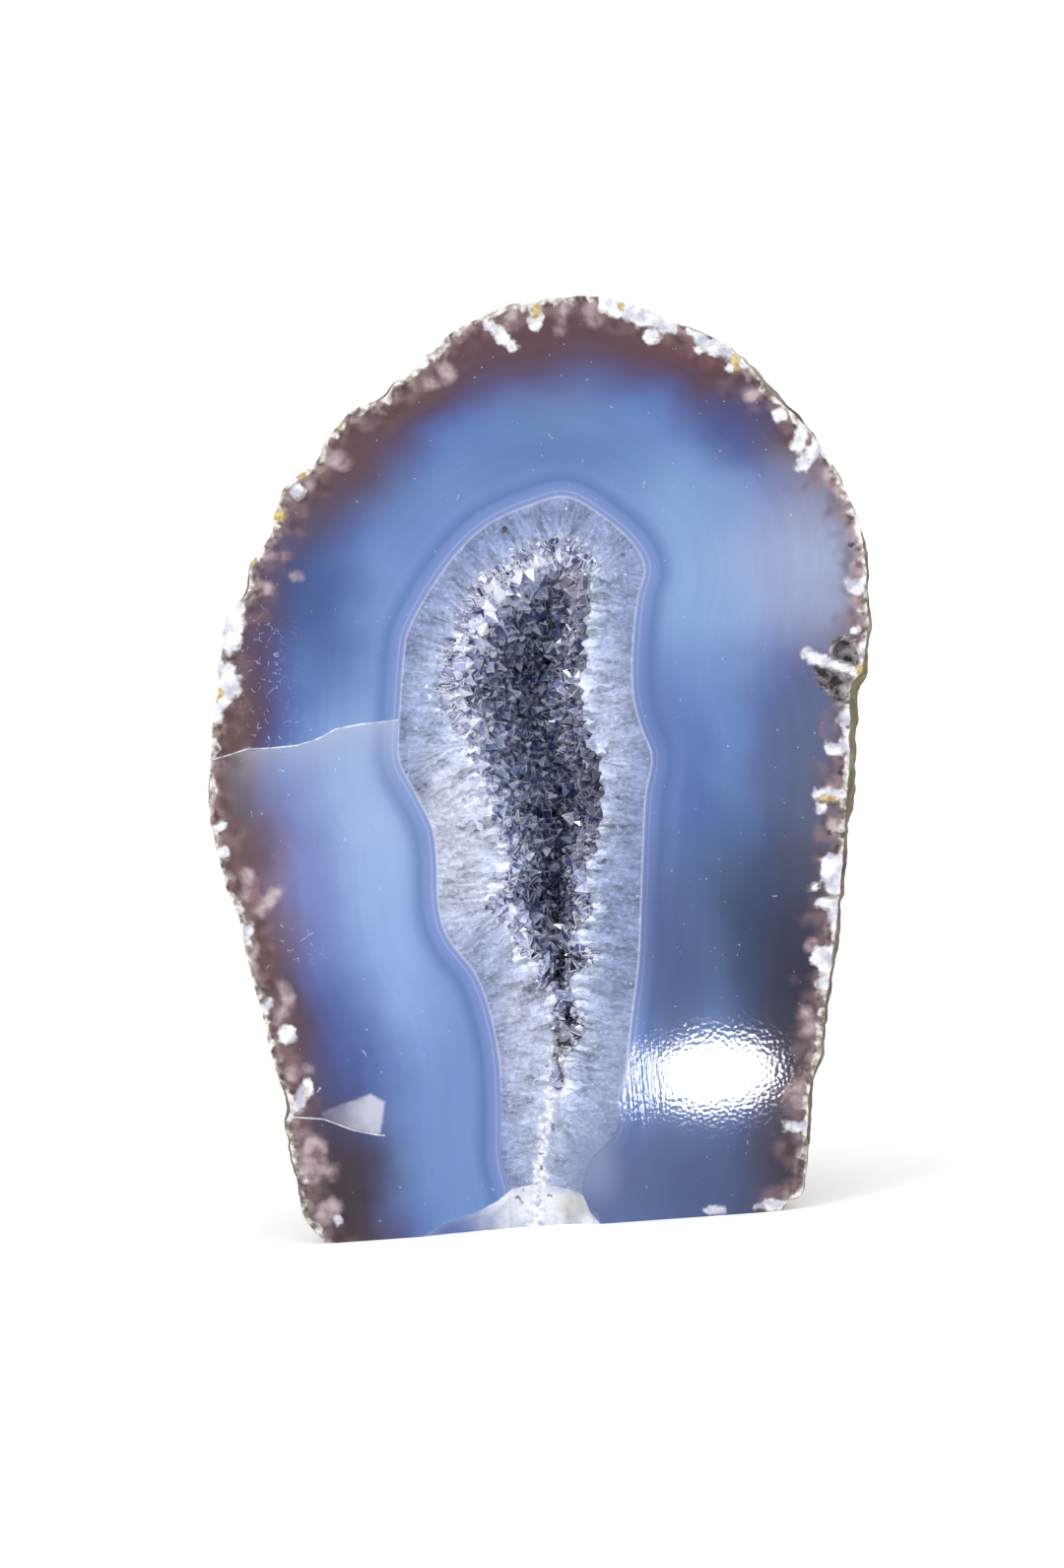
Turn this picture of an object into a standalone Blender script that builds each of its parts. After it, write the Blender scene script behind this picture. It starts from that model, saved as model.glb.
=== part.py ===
# Half of an agate geode, sawn flat below so that it stands with its polished cut face leaning back a little.
# It is two pieces: the banded stone, and the crust of quartz crystals that lines the hollow in its face.
#
# Outlines are in millimetres in the frame of the cut face: across (to the right), up (along the face, from
# the edge where it meets the sawn base) and deep (into the stone, square to the face).

import math

import bmesh
import bpy
from mathutils import Vector, geometry, noise

MM = 0.001

# The cut face leans back from upright by this much
LEAN = math.radians(5.0)

# Where the middle of the whole piece lies from the middle of the face's base edge: to the right, and back
MIDDLE_ACROSS = 2.85
MIDDLE_BACK = 30.75

# Depths from the cut face
STONE_DEPTH = 55.0
CRUST_DEPTH = 28.0
CAVITY_DEPTH = 19.0

# A piece keeps this far from its neighbour, and a shape that is cut out starts this far in front of the face
GAP = 0.35
CUTTER_REACH = 1.0

# The stone as the eye meets it from the front, from the left end of the base edge, up, over and down
STONE_OUTLINE = [
    (-29.7, 0.1), (-32.0, 3.5), (-32.5, 8.0), (-33.5, 15.0), (-32.9, 17.8), (-34.6, 23.2), (-35.6, 30.2),
    (-36.9, 36.5), (-37.5, 41.6), (-38.9, 45.8), (-40.1, 52.4), (-40.4, 56.8), (-39.8, 62.4), (-38.9, 68.0),
    (-37.6, 74.6), (-36.3, 80.4), (-33.5, 83.3), (-33.0, 86.4), (-29.8, 90.8), (-29.4, 93.0), (-27.3, 96.9),
    (-23.7, 99.1), (-22.5, 101.6), (-19.2, 105.0), (-16.3, 106.3), (-14.4, 106.9), (-13.0, 108.4),
    (-11.1, 109.3), (-9.3, 111.4), (-7.2, 112.7), (-5.1, 114.6), (-2.1, 115.9), (2.0, 117.3), (6.2, 117.8),
    (10.6, 118.1), (14.6, 117.6), (18.0, 116.6), (21.4, 115.1), (25.9, 113.0), (29.5, 111.5), (32.1, 109.0),
    (34.4, 106.4), (37.1, 103.0), (40.3, 99.2), (42.8, 95.0), (44.7, 90.8), (46.0, 86.1), (46.6, 80.7),
    (46.4, 75.7), (45.8, 70.7), (44.8, 67.0), (43.3, 65.0), (43.0, 60.3), (42.3, 53.4), (41.3, 46.6),
    (40.3, 39.8), (38.9, 32.4), (37.5, 25.6), (36.2, 19.0), (34.7, 15.0), (33.9, 9.5), (33.2, 3.9),
    (32.0, 1.1), (29.7, -0.1),
    # The run of the whole nodule below the saw cut
    (25.5, -5.5), (16.3, -11.8), (3.5, -15.9), (-9.0, -15.6), (-20.0, -11.0), (-25.8, -5.0),
]
STONE_CENTRE = (2.0, 52.0)

# The skin stands this far outside the cut face: on the left, and on the right where it shows from the front
SKIN_LEFT = 0.3
SKIN_RIGHT = 1.0

# The pale line where agate ends and quartz begins, from the left end of its base edge, up, over and down
QUARTZ_OUTLINE = [
    (-5.4, 4.6), (-6.1, 9.3), (-5.7, 16.1), (-5.6, 21.8), (-6.3, 27.5), (-7.8, 32.6), (-10.9, 37.4),
    (-11.9, 41.6), (-11.7, 47.3), (-12.0, 51.7), (-13.9, 56.4), (-15.6, 60.7), (-15.0, 66.9), (-14.0, 73.8),
    (-13.0, 77.3), (-9.5, 82.6), (-5.4, 87.2), (-1.4, 90.0), (3.7, 91.8), (7.9, 92.5), (11.5, 90.5),
    (15.8, 86.4), (17.5, 82.7), (16.3, 78.7), (15.2, 72.3), (14.9, 66.7), (15.6, 62.5), (16.7, 58.6),
    (15.5, 53.5), (14.6, 46.0), (13.8, 38.6), (13.1, 32.6), (11.7, 25.5), (10.6, 19.6), (9.3, 15.7),
    (8.5, 11.4), (5.2, 8.1), (3.9, 4.2), (5.0, 0.0),
    # Its run below the saw cut
    (3.0, -5.8), (-1.0, -8.0), (-5.1, -5.2),
]
QUARTZ_CENTRE = (0.5, 50.0)

# Where the flat cut of the quartz breaks off into the open cavity, as two runs from its foot to its top
CAVITY_LEFT = [
    (1.6, 17.6), (1.1, 19.2), (2.0, 20.2), (1.5, 21.5), (2.0, 23.4), (1.6, 25.6), (2.3, 28.1), (3.2, 29.0),
    (1.8, 30.1), (0.3, 30.9), (1.0, 33.7), (-0.9, 34.6), (-1.4, 35.9), (-1.0, 37.9), (-3.0, 40.1),
    (-4.5, 41.5), (-2.7, 43.2), (-2.7, 44.9), (-1.4, 46.9), (-2.6, 49.7), (-3.7, 52.1), (-3.6, 54.6),
    (-4.6, 56.8), (-5.4, 59.4), (-5.9, 61.0), (-5.7, 62.8), (-6.5, 64.3), (-6.9, 66.1), (-8.2, 67.2),
    (-7.5, 70.2), (-6.4, 73.8), (-4.8, 77.0), (-2.5, 80.3), (0.2, 82.6), (3.8, 84.1), (7.0, 85.0),
]
CAVITY_RIGHT = [
    (1.6, 17.6), (2.5, 18.6), (2.3, 20.3), (3.0, 22.0), (4.5, 23.2), (5.2, 25.1), (4.6, 27.3), (4.0, 29.5),
    (4.4, 31.7), (6.8, 33.0), (6.8, 34.8), (4.8, 36.1), (5.5, 37.9), (7.3, 40.0), (7.0, 42.8), (6.6, 44.8),
    (7.6, 46.5), (8.7, 48.2), (8.8, 50.8), (9.5, 53.6), (9.7, 56.4), (9.4, 59.2), (8.6, 60.5), (8.5, 63.0),
    (7.8, 65.0), (8.3, 67.3), (7.4, 68.6), (7.9, 69.6), (9.1, 70.5), (8.7, 72.1), (8.7, 74.0), (9.4, 75.2),
    (9.3, 77.7), (10.0, 80.2), (9.1, 83.0), (7.0, 85.0),
]

# The left wall of the cavity falls away gently, over about this far, and the right wall steeply
LEFT_WALL_REACH = 5.5
RIGHT_WALL_SLOPE = 4.5

# Crystals in the cavity: from one point to the next, how far a point stands out and a seam sinks, how far
# under the cut face the tallest points stop, and how far a point may lean over, in steps of their grid
CRYSTAL_SPACING = 3.0
CRYSTAL_HEIGHT = 2.2
SEAM_DEPTH = 0.6
CUT_MARGIN = 0.15
TIP_SHIFT = 0.7

# A flake is missing from the front of the base edge: its outline on the face, and how deep it is below
CHIP_OUTLINE = [
    (-18.8, -1.0), (-13.4, 1.7), (-10.0, 2.5), (-6.9, 3.9), (-5.0, 5.3), (-1.5, 5.7), (2.2, 4.7), (3.9, 3.8),
    (4.6, 1.6), (6.8, -1.0),
]
CHIP_DEPTH = 2.2

# A hole is broken into the face by its right edge, with a ledge of the skin outside it
PIT_OUTLINE = [
    (40.2, 71.2), (41.8, 72.4), (43.6, 71.6), (44.0, 69.4), (43.4, 66.6), (42.0, 63.8), (40.6, 63.6),
    (39.4, 65.0), (38.2, 66.6), (37.9, 68.4), (39.6, 69.2),
]
PIT_DEPTH = 3.4
PIT_TAPER = 0.7

# Lumps on the natural skin: (distance between lumps, height)
LUMPS = [(27.0, 4.2), (12.0, 2.4), (6.0, 1.1)]

# The outline's nicks fade out behind the face: how many points its rounded form averages to each side
ROUNDING = 9

SKIN_RINGS = 19
CRUST_RINGS = 9

COLOURS = {
    "agate_stone": ((0.16, 0.26, 0.47), 0.12),
    "quartz_crust": ((0.62, 0.64, 0.74), 0.18),
}


def placed(across, up, deep):
    """The point of the world, in metres, for a point of the cut face's frame, in millimetres."""
    back = up * math.sin(LEAN) + deep * math.cos(LEAN)
    high = up * math.cos(LEAN) - deep * math.sin(LEAN)
    return Vector((across - MIDDLE_ACROSS, back - MIDDLE_BACK, high)) * MM


def smooth_loop(points, steps):
    """Points on a closed smooth curve through the given ones, with steps of them from each to the next."""
    count = len(points)
    loop = []
    for i in range(count):
        before, start, end, after = (Vector(points[(i + k) % count]) for k in (-1, 0, 1, 2))
        for step in range(steps):
            t = step / steps
            linear = (end - before) * t
            square = (2 * before - 5 * start + 4 * end - after) * t**2
            cube = (3 * start - before - 3 * end + after) * t**3
            loop.append(start + 0.5 * (linear + square + cube))
    return loop


def outward(loop, i):
    """The direction square to a clockwise loop at its point i, pointing out of it."""
    along = loop[(i + 1) % len(loop)] - loop[i - 1]
    return Vector((-along.y, along.x)).normalized()


def grown(loop, distance):
    """The loop moved outwards, by one distance or by a distance for each point."""
    return [point + outward(loop, i) * distance(point) for i, point in enumerate(loop)]


def skin_width(point):
    """How far the skin stands outside the cut face at a point of the outline."""
    share = min(1.0, max(0.0, (point.x - 20.0) / 15.0))
    return SKIN_LEFT + (SKIN_RIGHT - SKIN_LEFT) * share


def lump(point):
    """How far the natural skin stands out at a point in millimetres."""
    return sum(tall * noise.noise(point / size) for size, tall in LUMPS)


def rounded(loop):
    """The loop with its nicks and bumps averaged away."""
    count = len(loop)
    span = range(-ROUNDING, ROUNDING + 1)
    return [sum((loop[(i + k) % count] for k in span), Vector((0, 0))) / len(span) for i in range(count)]


def bowl(face_loop, loop, centre, depth, rings, lumpy):
    """The closed dome behind the cut face: its loop on the face, then rings of its full outline that shrink
    towards the centre as they go deeper. Each ring has fewer points than the last, so a flat drawing of the
    rings is triangulated and the triangles are lifted into place. On a lumpy dome the outline's nicks fade
    into lumps."""
    centre = Vector(centre)
    round_loop = rounded(loop)
    flat, solid = [], []
    for ring in range(rings):
        turn = math.pi / 2 * (ring / rings) ** 1.15
        shrink = math.cos(turn) ** 0.8
        count = max(7, round(len(loop) * min(1.0, 1.15 * math.cos(turn) ** 0.9)))
        for i in range(count):
            place = i * len(loop) / count
            first = int(place)
            source = loop if ring else face_loop
            edge = source[first].lerp(source[(first + 1) % len(loop)], place - first)
            natural = min(1.0, 3.0 * ring / rings) if lumpy else 0.0
            edge = edge.lerp(round_loop[first].lerp(round_loop[(first + 1) % len(loop)], place - first), natural)
            across, up = centre + (edge - centre) * shrink
            deep = depth * math.sin(turn)
            point = Vector((across, up, deep))
            away = Vector((across - centre.x, up - centre.y, deep)).normalized()
            point += away * lump(point) * natural
            angle = 2 * math.pi * place / len(loop)
            out = 1 - ring / rings
            flat.append(Vector((out * math.cos(angle), out * math.sin(angle))))
            solid.append(point)
    flat.append(Vector((0.0, 0.0)))
    solid.append(Vector((*centre, depth)))
    triangles = geometry.delaunay_2d_cdt(flat, [], [], 0, 1e-7)[2]
    return solid, triangles


def new_object(name, bm):
    """An object with the mesh of bm, whose faces are turned outwards."""
    bmesh.ops.recalc_face_normals(bm, faces=bm.faces)
    mesh = bpy.data.meshes.new(name)
    bm.to_mesh(mesh)
    bm.free()
    made = bpy.data.objects.new(name, mesh)
    bpy.context.scene.collection.objects.link(made)
    return made


def saw_base(bm):
    """Cuts away all that lies below the ground and closes the cut with one flat face."""
    everything = [*bm.verts, *bm.edges, *bm.faces]
    bmesh.ops.bisect_plane(bm, geom=everything, plane_co=(0, 0, 0), plane_no=(0, 0, -1), clear_outer=True)
    bmesh.ops.contextual_create(bm, geom=[edge for edge in bm.edges if edge.is_boundary])


def add_triangles(bm, points, triangles):
    verts = [bm.verts.new(placed(*point)) for point in points]
    for triangle in triangles:
        bm.faces.new([verts[i] for i in triangle])
    return verts


def stone_object(name, face_loop, loop):
    """The stone before anything is taken out of it: a lumpy dome closed by the flat cut face."""
    bm = bmesh.new()
    points, triangles = bowl(face_loop, loop, STONE_CENTRE, STONE_DEPTH, SKIN_RINGS, lumpy=True)
    verts = add_triangles(bm, points, triangles)
    bm.faces.new(verts[:len(loop)])
    saw_base(bm)
    return new_object(name, bm)


def hollow_object(name, loop):
    """The room that the crust lies in, which starts a little in front of the cut face."""
    bm = bmesh.new()
    points, triangles = bowl(loop, loop, QUARTZ_CENTRE, CRUST_DEPTH + GAP, CRUST_RINGS, lumpy=False)
    mouth = add_triangles(bm, points, triangles)[:len(loop)]
    near = [bm.verts.new(placed(point.x, point.y, -CUTTER_REACH)) for point in loop]
    bm.faces.new(near)
    for i in range(len(near)):
        bm.faces.new((near[i - 1], near[i], mouth[i], mouth[i - 1]))
    return new_object(name, bm)


def prism_object(name, front, back):
    """A closed solid from one loop of points in the cut face's frame to another with as many points."""
    bm = bmesh.new()
    near = [bm.verts.new(placed(*point)) for point in front]
    far = [bm.verts.new(placed(*point)) for point in back]
    bm.faces.new(near)
    bm.faces.new(far)
    for i in range(len(near)):
        bm.faces.new((near[i - 1], near[i], far[i], far[i - 1]))
    return new_object(name, bm)


def cut(target, cutter):
    """Takes the cutter's shape out of the target, and keeps the cutter out of the render."""
    cutter.hide_render = True
    cutter.display_type = "WIRE"
    boolean = target.modifiers.new(cutter.name, "BOOLEAN")
    boolean.operation = "DIFFERENCE"
    boolean.object = cutter


def distance_to(point, run):
    """How far a point of the face is from a run of points joined by straight lines."""
    nearest = 1e9
    for start, end in zip(run, run[1:]):
        foot, share = geometry.intersect_point_line(point, Vector(start), Vector(end))
        if share < 0:
            foot = Vector(start).to_3d()
        elif share > 1:
            foot = Vector(end).to_3d()
        nearest = min(nearest, (foot.xy - point).length)
    return nearest


def is_inside(point, loop):
    """Whether a point of the face is inside a closed loop."""
    inside = False
    for start, end in zip(loop, loop[1:] + loop[:1]):
        if (start[1] > point.y) != (end[1] > point.y):
            crossing = start[0] + (point.y - start[1]) * (end[0] - start[0]) / (end[1] - start[1])
            inside ^= point.x < crossing
    return inside


def cavity_floor(point):
    """The depth of the cavity's floor below the cut face, before its crystals."""
    gentle = CAVITY_DEPTH * (1 - math.exp(-distance_to(point, CAVITY_LEFT) / LEFT_WALL_REACH))
    steep = RIGHT_WALL_SLOPE * distance_to(point, CAVITY_RIGHT)
    return min(gentle, steep)


def open_side(point):
    """The direction square to the cavity's floor, into the open."""
    step = 0.4
    here = cavity_floor(point)
    slope_across = (cavity_floor(point + Vector((step, 0))) - here) / step
    slope_up = (cavity_floor(point + Vector((0, step))) - here) / step
    return Vector((slope_across, slope_up, -1.0)).normalized()


def crystal_points(rim):
    """Points of the druse, each with its place on a flat drawing and its place in the cavity. They lie on a
    triangular grid, shaken a little, of which every third point is the tip of a crystal and the two others
    are the seams between crystals."""
    step = CRYSTAL_SPACING / math.sqrt(3)
    low_across, high_across = min(p[0] for p in rim), max(p[0] for p in rim)
    low_up, high_up = min(p[1] for p in rim), max(p[1] for p in rim)
    rows = int((high_up - low_up) / (step * math.sqrt(3) / 2)) + 1
    columns = int((high_across - low_across) / step) + rows
    points = []
    for row in range(rows):
        for column in range(-rows, columns):
            across = low_across + (column + row / 2) * step
            up = low_up + row * step * math.sqrt(3) / 2
            spot = Vector((column * 7.31, row * 5.77, 0.0))
            shake = noise.noise_vector(spot) * step * 0.6
            point = Vector((across, up)) + shake.xy
            edge_distance = min(distance_to(point, CAVITY_LEFT), distance_to(point, CAVITY_RIGHT))
            if not is_inside(point, rim) or edge_distance < step * 0.35:
                continue
            height = -SEAM_DEPTH
            if (column - row) % 3 == 0:
                height = CRYSTAL_HEIGHT * (1.0 + 0.7 * noise.noise(spot + Vector((0, 0, 9.4))))
            lean = open_side(point).xy * height
            lean *= min(1.0, TIP_SHIFT * step / lean.length)
            tip = Vector((*(point + lean), max(CUT_MARGIN, cavity_floor(point) - height)))
            points.append((point, tip))
    return points


def crust_front(outline):
    """The front of the crust: flat in the plane of the cut from the outline to the cavity's rim, and pitted
    with crystals inside the rim."""
    rim = CAVITY_LEFT + CAVITY_RIGHT[-2:0:-1]
    druse = crystal_points(rim)
    edge = [Vector(p) for p in outline] + [Vector(p) for p in rim]
    flat = edge + [point for point, _ in druse]
    solid = [point.to_3d() for point in edge] + [tip for _, tip in druse]
    first, second = len(outline), len(outline) + len(rim)
    edges = [(i, (i + 1) % first) for i in range(first)]
    edges += [(i, i + 1 if i + 1 < second else first) for i in range(first, second)]
    made, _, triangles, sources, _, _ = geometry.delaunay_2d_cdt(flat, edges, [], 0, 1e-6)
    points = [solid[source[0]] for source in sources]
    inside = []
    for triangle in triangles:
        middle = sum((made[i] for i in triangle), Vector((0, 0))) / 3
        if is_inside(middle, outline):
            inside.append(triangle)
    return points, inside


def make_stone():
    silhouette = smooth_loop(STONE_OUTLINE, 2)
    face = grown(silhouette, lambda point: -skin_width(point))
    return stone_object("agate_stone", face, silhouette)


def make_hollow():
    return hollow_object("hollow", grown(smooth_loop(QUARTZ_OUTLINE, 2), lambda point: GAP))


def make_crust():
    outline = smooth_loop(QUARTZ_OUTLINE, 2)
    bm = bmesh.new()
    add_triangles(bm, *crust_front(outline))
    points, triangles = bowl(outline, outline, QUARTZ_CENTRE, CRUST_DEPTH, CRUST_RINGS, lumpy=False)
    add_triangles(bm, points, triangles)
    bmesh.ops.remove_doubles(bm, verts=bm.verts, dist=1e-6)
    saw_base(bm)
    return new_object("quartz_crust", bm)


def make_chip():
    """The wedge that is missing at the base edge. It starts in front of the face and runs out under it."""
    front = [(across, up, -CUTTER_REACH) for across, up in CHIP_OUTLINE]
    top = max(up for _, up in CHIP_OUTLINE)
    back = [(across, up, CHIP_DEPTH * (1 - up / top) ** 0.8) for across, up in CHIP_OUTLINE]
    return prism_object("chip", front, back)


def make_pit():
    """The hole by the right edge, narrower at its floor."""
    middle = sum((Vector(p) for p in PIT_OUTLINE), Vector((0, 0))) / len(PIT_OUTLINE)
    floor = [middle + (Vector(p) - middle) * PIT_TAPER for p in PIT_OUTLINE]
    front = [(*p, -CUTTER_REACH) for p in PIT_OUTLINE]
    back = [(*p, PIT_DEPTH) for p in floor]
    return prism_object("pit", front, back)


def finish(made):
    """The material of a piece, and flat shading, which suits cut faces and crystals."""
    colour, roughness = COLOURS[made.name]
    material = bpy.data.materials.new(made.name)
    material.use_nodes = True
    shader = material.node_tree.nodes["Principled BSDF"]
    shader.inputs["Base Color"].default_value = (*colour, 1.0)
    shader.inputs["Roughness"].default_value = roughness
    shader.inputs["Metallic"].default_value = 0.0
    made.data.materials.append(material)


def main():
    for old in list(bpy.data.objects):
        bpy.data.objects.remove(old, do_unlink=True)
    stone = make_stone()
    crust = make_crust()
    chip = make_chip()
    cut(crust, chip)
    for cutter in (chip, make_pit(), make_hollow()):
        cut(stone, cutter)
    finish(stone)
    finish(crust)


main()
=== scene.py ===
# Looks for half an agate geode on its sawn base: the polished face, the natural skin and the crystals
import itertools
import math

import bmesh
import bpy
import numpy as np
from mathutils import Matrix, Vector, geometry, noise


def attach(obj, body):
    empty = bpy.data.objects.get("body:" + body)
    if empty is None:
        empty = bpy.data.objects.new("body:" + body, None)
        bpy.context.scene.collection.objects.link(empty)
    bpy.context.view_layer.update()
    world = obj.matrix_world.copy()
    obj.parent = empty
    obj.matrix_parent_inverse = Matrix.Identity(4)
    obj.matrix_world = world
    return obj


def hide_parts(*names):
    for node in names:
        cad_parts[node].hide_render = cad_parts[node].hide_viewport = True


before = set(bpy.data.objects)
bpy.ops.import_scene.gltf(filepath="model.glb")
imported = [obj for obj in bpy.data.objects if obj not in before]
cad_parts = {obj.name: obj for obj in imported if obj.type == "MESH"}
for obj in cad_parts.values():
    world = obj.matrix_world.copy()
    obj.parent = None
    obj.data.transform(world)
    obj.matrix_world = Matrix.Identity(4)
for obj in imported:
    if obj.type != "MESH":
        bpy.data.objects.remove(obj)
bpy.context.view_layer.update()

# The cut face's own frame in mm: across to the right, up the face from its base edge, deep into the stone
cutFace = {"leanDegrees": 5.0, "middleAcross": 2.85, "middleBack": 30.75}
leanSine = math.sin(math.radians(cutFace["leanDegrees"]))
leanCosine = math.cos(math.radians(cutFace["leanDegrees"]))


def placed(points):  # from the face's frame in mm to the world in metres
    across, up, deep = np.asarray(points, float).T
    back = up * leanSine + deep * leanCosine - cutFace["middleBack"]
    high = up * leanCosine - deep * leanSine
    return np.column_stack((across - cutFace["middleAcross"], back, high)) * 0.001


def onFace(points):  # from the world in metres to the face's frame in mm
    x, y, z = np.asarray(points, float).T * 1000.0
    y = y + cutFace["middleBack"]
    up, deep = y * leanSine + z * leanCosine, y * leanCosine - z * leanSine
    return np.column_stack((x + cutFace["middleAcross"], up, deep))


# The stone as the eye meets it from the front, from the left end of the base edge, up, over and down
stoneOutline = [
    (-29.7, 0.1), (-32.0, 3.5), (-32.5, 8.0), (-33.5, 15.0), (-32.9, 17.8), (-34.6, 23.2), (-35.6, 30.2),
    (-36.9, 36.5), (-37.5, 41.6), (-38.9, 45.8), (-40.1, 52.4), (-40.4, 56.8), (-39.8, 62.4), (-38.9, 68.0),
    (-37.6, 74.6), (-36.3, 80.4), (-33.5, 83.3), (-33.0, 86.4), (-29.8, 90.8), (-29.4, 93.0), (-27.3, 96.9),
    (-23.7, 99.1), (-22.5, 101.6), (-19.2, 105.0), (-16.3, 106.3), (-14.4, 106.9), (-13.0, 108.4),
    (-11.1, 109.3), (-9.3, 111.4), (-7.2, 112.7), (-5.1, 114.6), (-2.1, 115.9), (2.0, 117.3), (6.2, 117.8),
    (10.6, 118.1), (14.6, 117.6), (18.0, 116.6), (21.4, 115.1), (25.9, 113.0), (29.5, 111.5), (32.1, 109.0),
    (34.4, 106.4), (37.1, 103.0), (40.3, 99.2), (42.8, 95.0), (44.7, 90.8), (46.0, 86.1), (46.6, 80.7),
    (46.4, 75.7), (45.8, 70.7), (44.8, 67.0), (43.3, 65.0), (43.0, 60.3), (42.3, 53.4), (41.3, 46.6),
    (40.3, 39.8), (38.9, 32.4), (37.5, 25.6), (36.2, 19.0), (34.7, 15.0), (33.9, 9.5), (33.2, 3.9),
    (32.0, 1.1), (29.7, -0.1),
    (25.5, -5.5), (16.3, -11.8), (3.5, -15.9), (-9.0, -15.6), (-20.0, -11.0), (-25.8, -5.0),
]
# The pale line where agate ends and quartz begins, from the left end of its base edge, up, over and down
quartzOutline = [
    (-5.4, 4.6), (-6.1, 9.3), (-5.7, 16.1), (-5.6, 21.8), (-6.3, 27.5), (-7.8, 32.6), (-10.9, 37.4),
    (-11.9, 41.6), (-11.7, 47.3), (-12.0, 51.7), (-13.9, 56.4), (-15.6, 60.7), (-15.0, 66.9), (-14.0, 73.8),
    (-13.0, 77.3), (-9.5, 82.6), (-5.4, 87.2), (-1.4, 90.0), (3.7, 91.8), (7.9, 92.5), (11.5, 90.5),
    (15.8, 86.4), (17.5, 82.7), (16.3, 78.7), (15.2, 72.3), (14.9, 66.7), (15.6, 62.5), (16.7, 58.6),
    (15.5, 53.5), (14.6, 46.0), (13.8, 38.6), (13.1, 32.6), (11.7, 25.5), (10.6, 19.6), (9.3, 15.7),
    (8.5, 11.4), (5.2, 8.1), (3.9, 4.2), (5.0, 0.0),
    (3.0, -5.8), (-1.0, -8.0), (-5.1, -5.2),
]
# Where the flat cut of the quartz breaks off into the open cavity: up its left side, then down its right side
cavityLeft = [
    (1.6, 17.6), (1.1, 19.2), (2.0, 20.2), (1.5, 21.5), (2.0, 23.4), (1.6, 25.6), (2.3, 28.1), (3.2, 29.0),
    (1.8, 30.1), (0.3, 30.9), (1.0, 33.7), (-0.9, 34.6), (-1.4, 35.9), (-1.0, 37.9), (-3.0, 40.1),
    (-4.5, 41.5), (-2.7, 43.2), (-2.7, 44.9), (-1.4, 46.9), (-2.6, 49.7), (-3.7, 52.1), (-3.6, 54.6),
    (-4.6, 56.8), (-5.4, 59.4), (-5.9, 61.0), (-5.7, 62.8), (-6.5, 64.3), (-6.9, 66.1), (-8.2, 67.2),
    (-7.5, 70.2), (-6.4, 73.8), (-4.8, 77.0), (-2.5, 80.3), (0.2, 82.6), (3.8, 84.1), (7.0, 85.0),
]
cavityRight = [
    (7.0, 85.0), (9.1, 83.0), (10.0, 80.2), (9.3, 77.7), (9.4, 75.2), (8.7, 74.0), (8.7, 72.1), (9.1, 70.5),
    (7.9, 69.6), (7.4, 68.6), (8.3, 67.3), (7.8, 65.0), (8.5, 63.0), (8.6, 60.5), (9.4, 59.2), (9.7, 56.4),
    (9.5, 53.6), (8.8, 50.8), (8.7, 48.2), (7.6, 46.5), (6.6, 44.8), (7.0, 42.8), (7.3, 40.0), (5.5, 37.9),
    (4.8, 36.1), (6.8, 34.8), (6.8, 33.0), (4.4, 31.7), (4.0, 29.5), (4.6, 27.3), (5.2, 25.1), (4.5, 23.2),
    (3.0, 22.0), (2.3, 20.3), (2.5, 18.6), (1.6, 17.6),
]
# A flake is missing from the front of the base edge, and a hole is broken into the face by its right edge
chipOutline = [
    (-18.8, -1.0), (-13.4, 1.7), (-10.0, 2.5), (-6.9, 3.9), (-5.0, 5.3), (-1.5, 5.7), (2.2, 4.7), (3.9, 3.8),
    (4.6, 1.6), (6.8, -1.0),
]
pitOutline = [
    (40.2, 71.2), (41.8, 72.4), (43.6, 71.6), (44.0, 69.4), (43.4, 66.6), (42.0, 63.8), (40.6, 63.6),
    (39.4, 65.0), (38.2, 66.6), (37.9, 68.4), (39.6, 69.2),
]

stone = {
    "centre": (2.0, 52.0), "depth": 55.0, "edgeSpacing": 0.38, "faceRows": 46, "skinRings": 104,
    "skinLeft": 0.3, "skinRight": 1.0, "lumps": [(27.0, 4.2), (12.0, 2.4), (6.0, 1.1)],
    "roughness": [(3.1, 0.55), (1.5, 0.26), (0.75, 0.1)], "rounding": 18.0, "roundness": 0.8,
    "chipDepth": 2.2, "pitDepth": 2.4, "barOverPit": [(36.0, 70.6), (44.0, 67.2)], "baseSpacing": 0.9,
}
crust = {
    "centre": (0.5, 50.0), "depth": 28.0, "gapBehind": 0.35, "cavityDepth": 19.0, "leftWallReach": 5.5,
    "rightWallSlope": 4.5, "outlinePoints": 640, "rimPoints": 420, "spacing": 0.5, "hollowGap": 0.02,
    "beltHigh": 3.0, "beltLow": 0.65, "beltDepth": 0.75,
}
# Material slots of the stone and of the crust
faceSlot, skinSlot, hollowSlot, sawnSlot = range(4)
bedSlot, backSlot = 1, 2


def smoothLoop(points, steps):  # a closed smooth curve, with this many steps from each point to the next
    start = np.asarray(points, float)
    before, end, after = np.roll(start, 1, 0), np.roll(start, -1, 0), np.roll(start, -2, 0)
    loop = []
    for step in range(steps):
        t = step / steps
        cubic = (3 * start - before - 3 * end + after) * t**3
        square = (2 * before - 5 * start + 4 * end - after) * t**2
        loop.append(start + 0.5 * ((end - before) * t + square + cubic))
    return np.stack(loop, 1).reshape(-1, 2)


def evenRun(curve, count):  # count points at even steps along an open run, without its last point
    lengths = np.concatenate(([0.0], np.cumsum(np.linalg.norm(np.diff(curve, axis=0), axis=1))))
    wanted = np.linspace(0.0, lengths[-1], count + 1)[:-1]
    return np.column_stack([np.interp(wanted, lengths, curve[:, k]) for k in range(2)])


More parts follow.
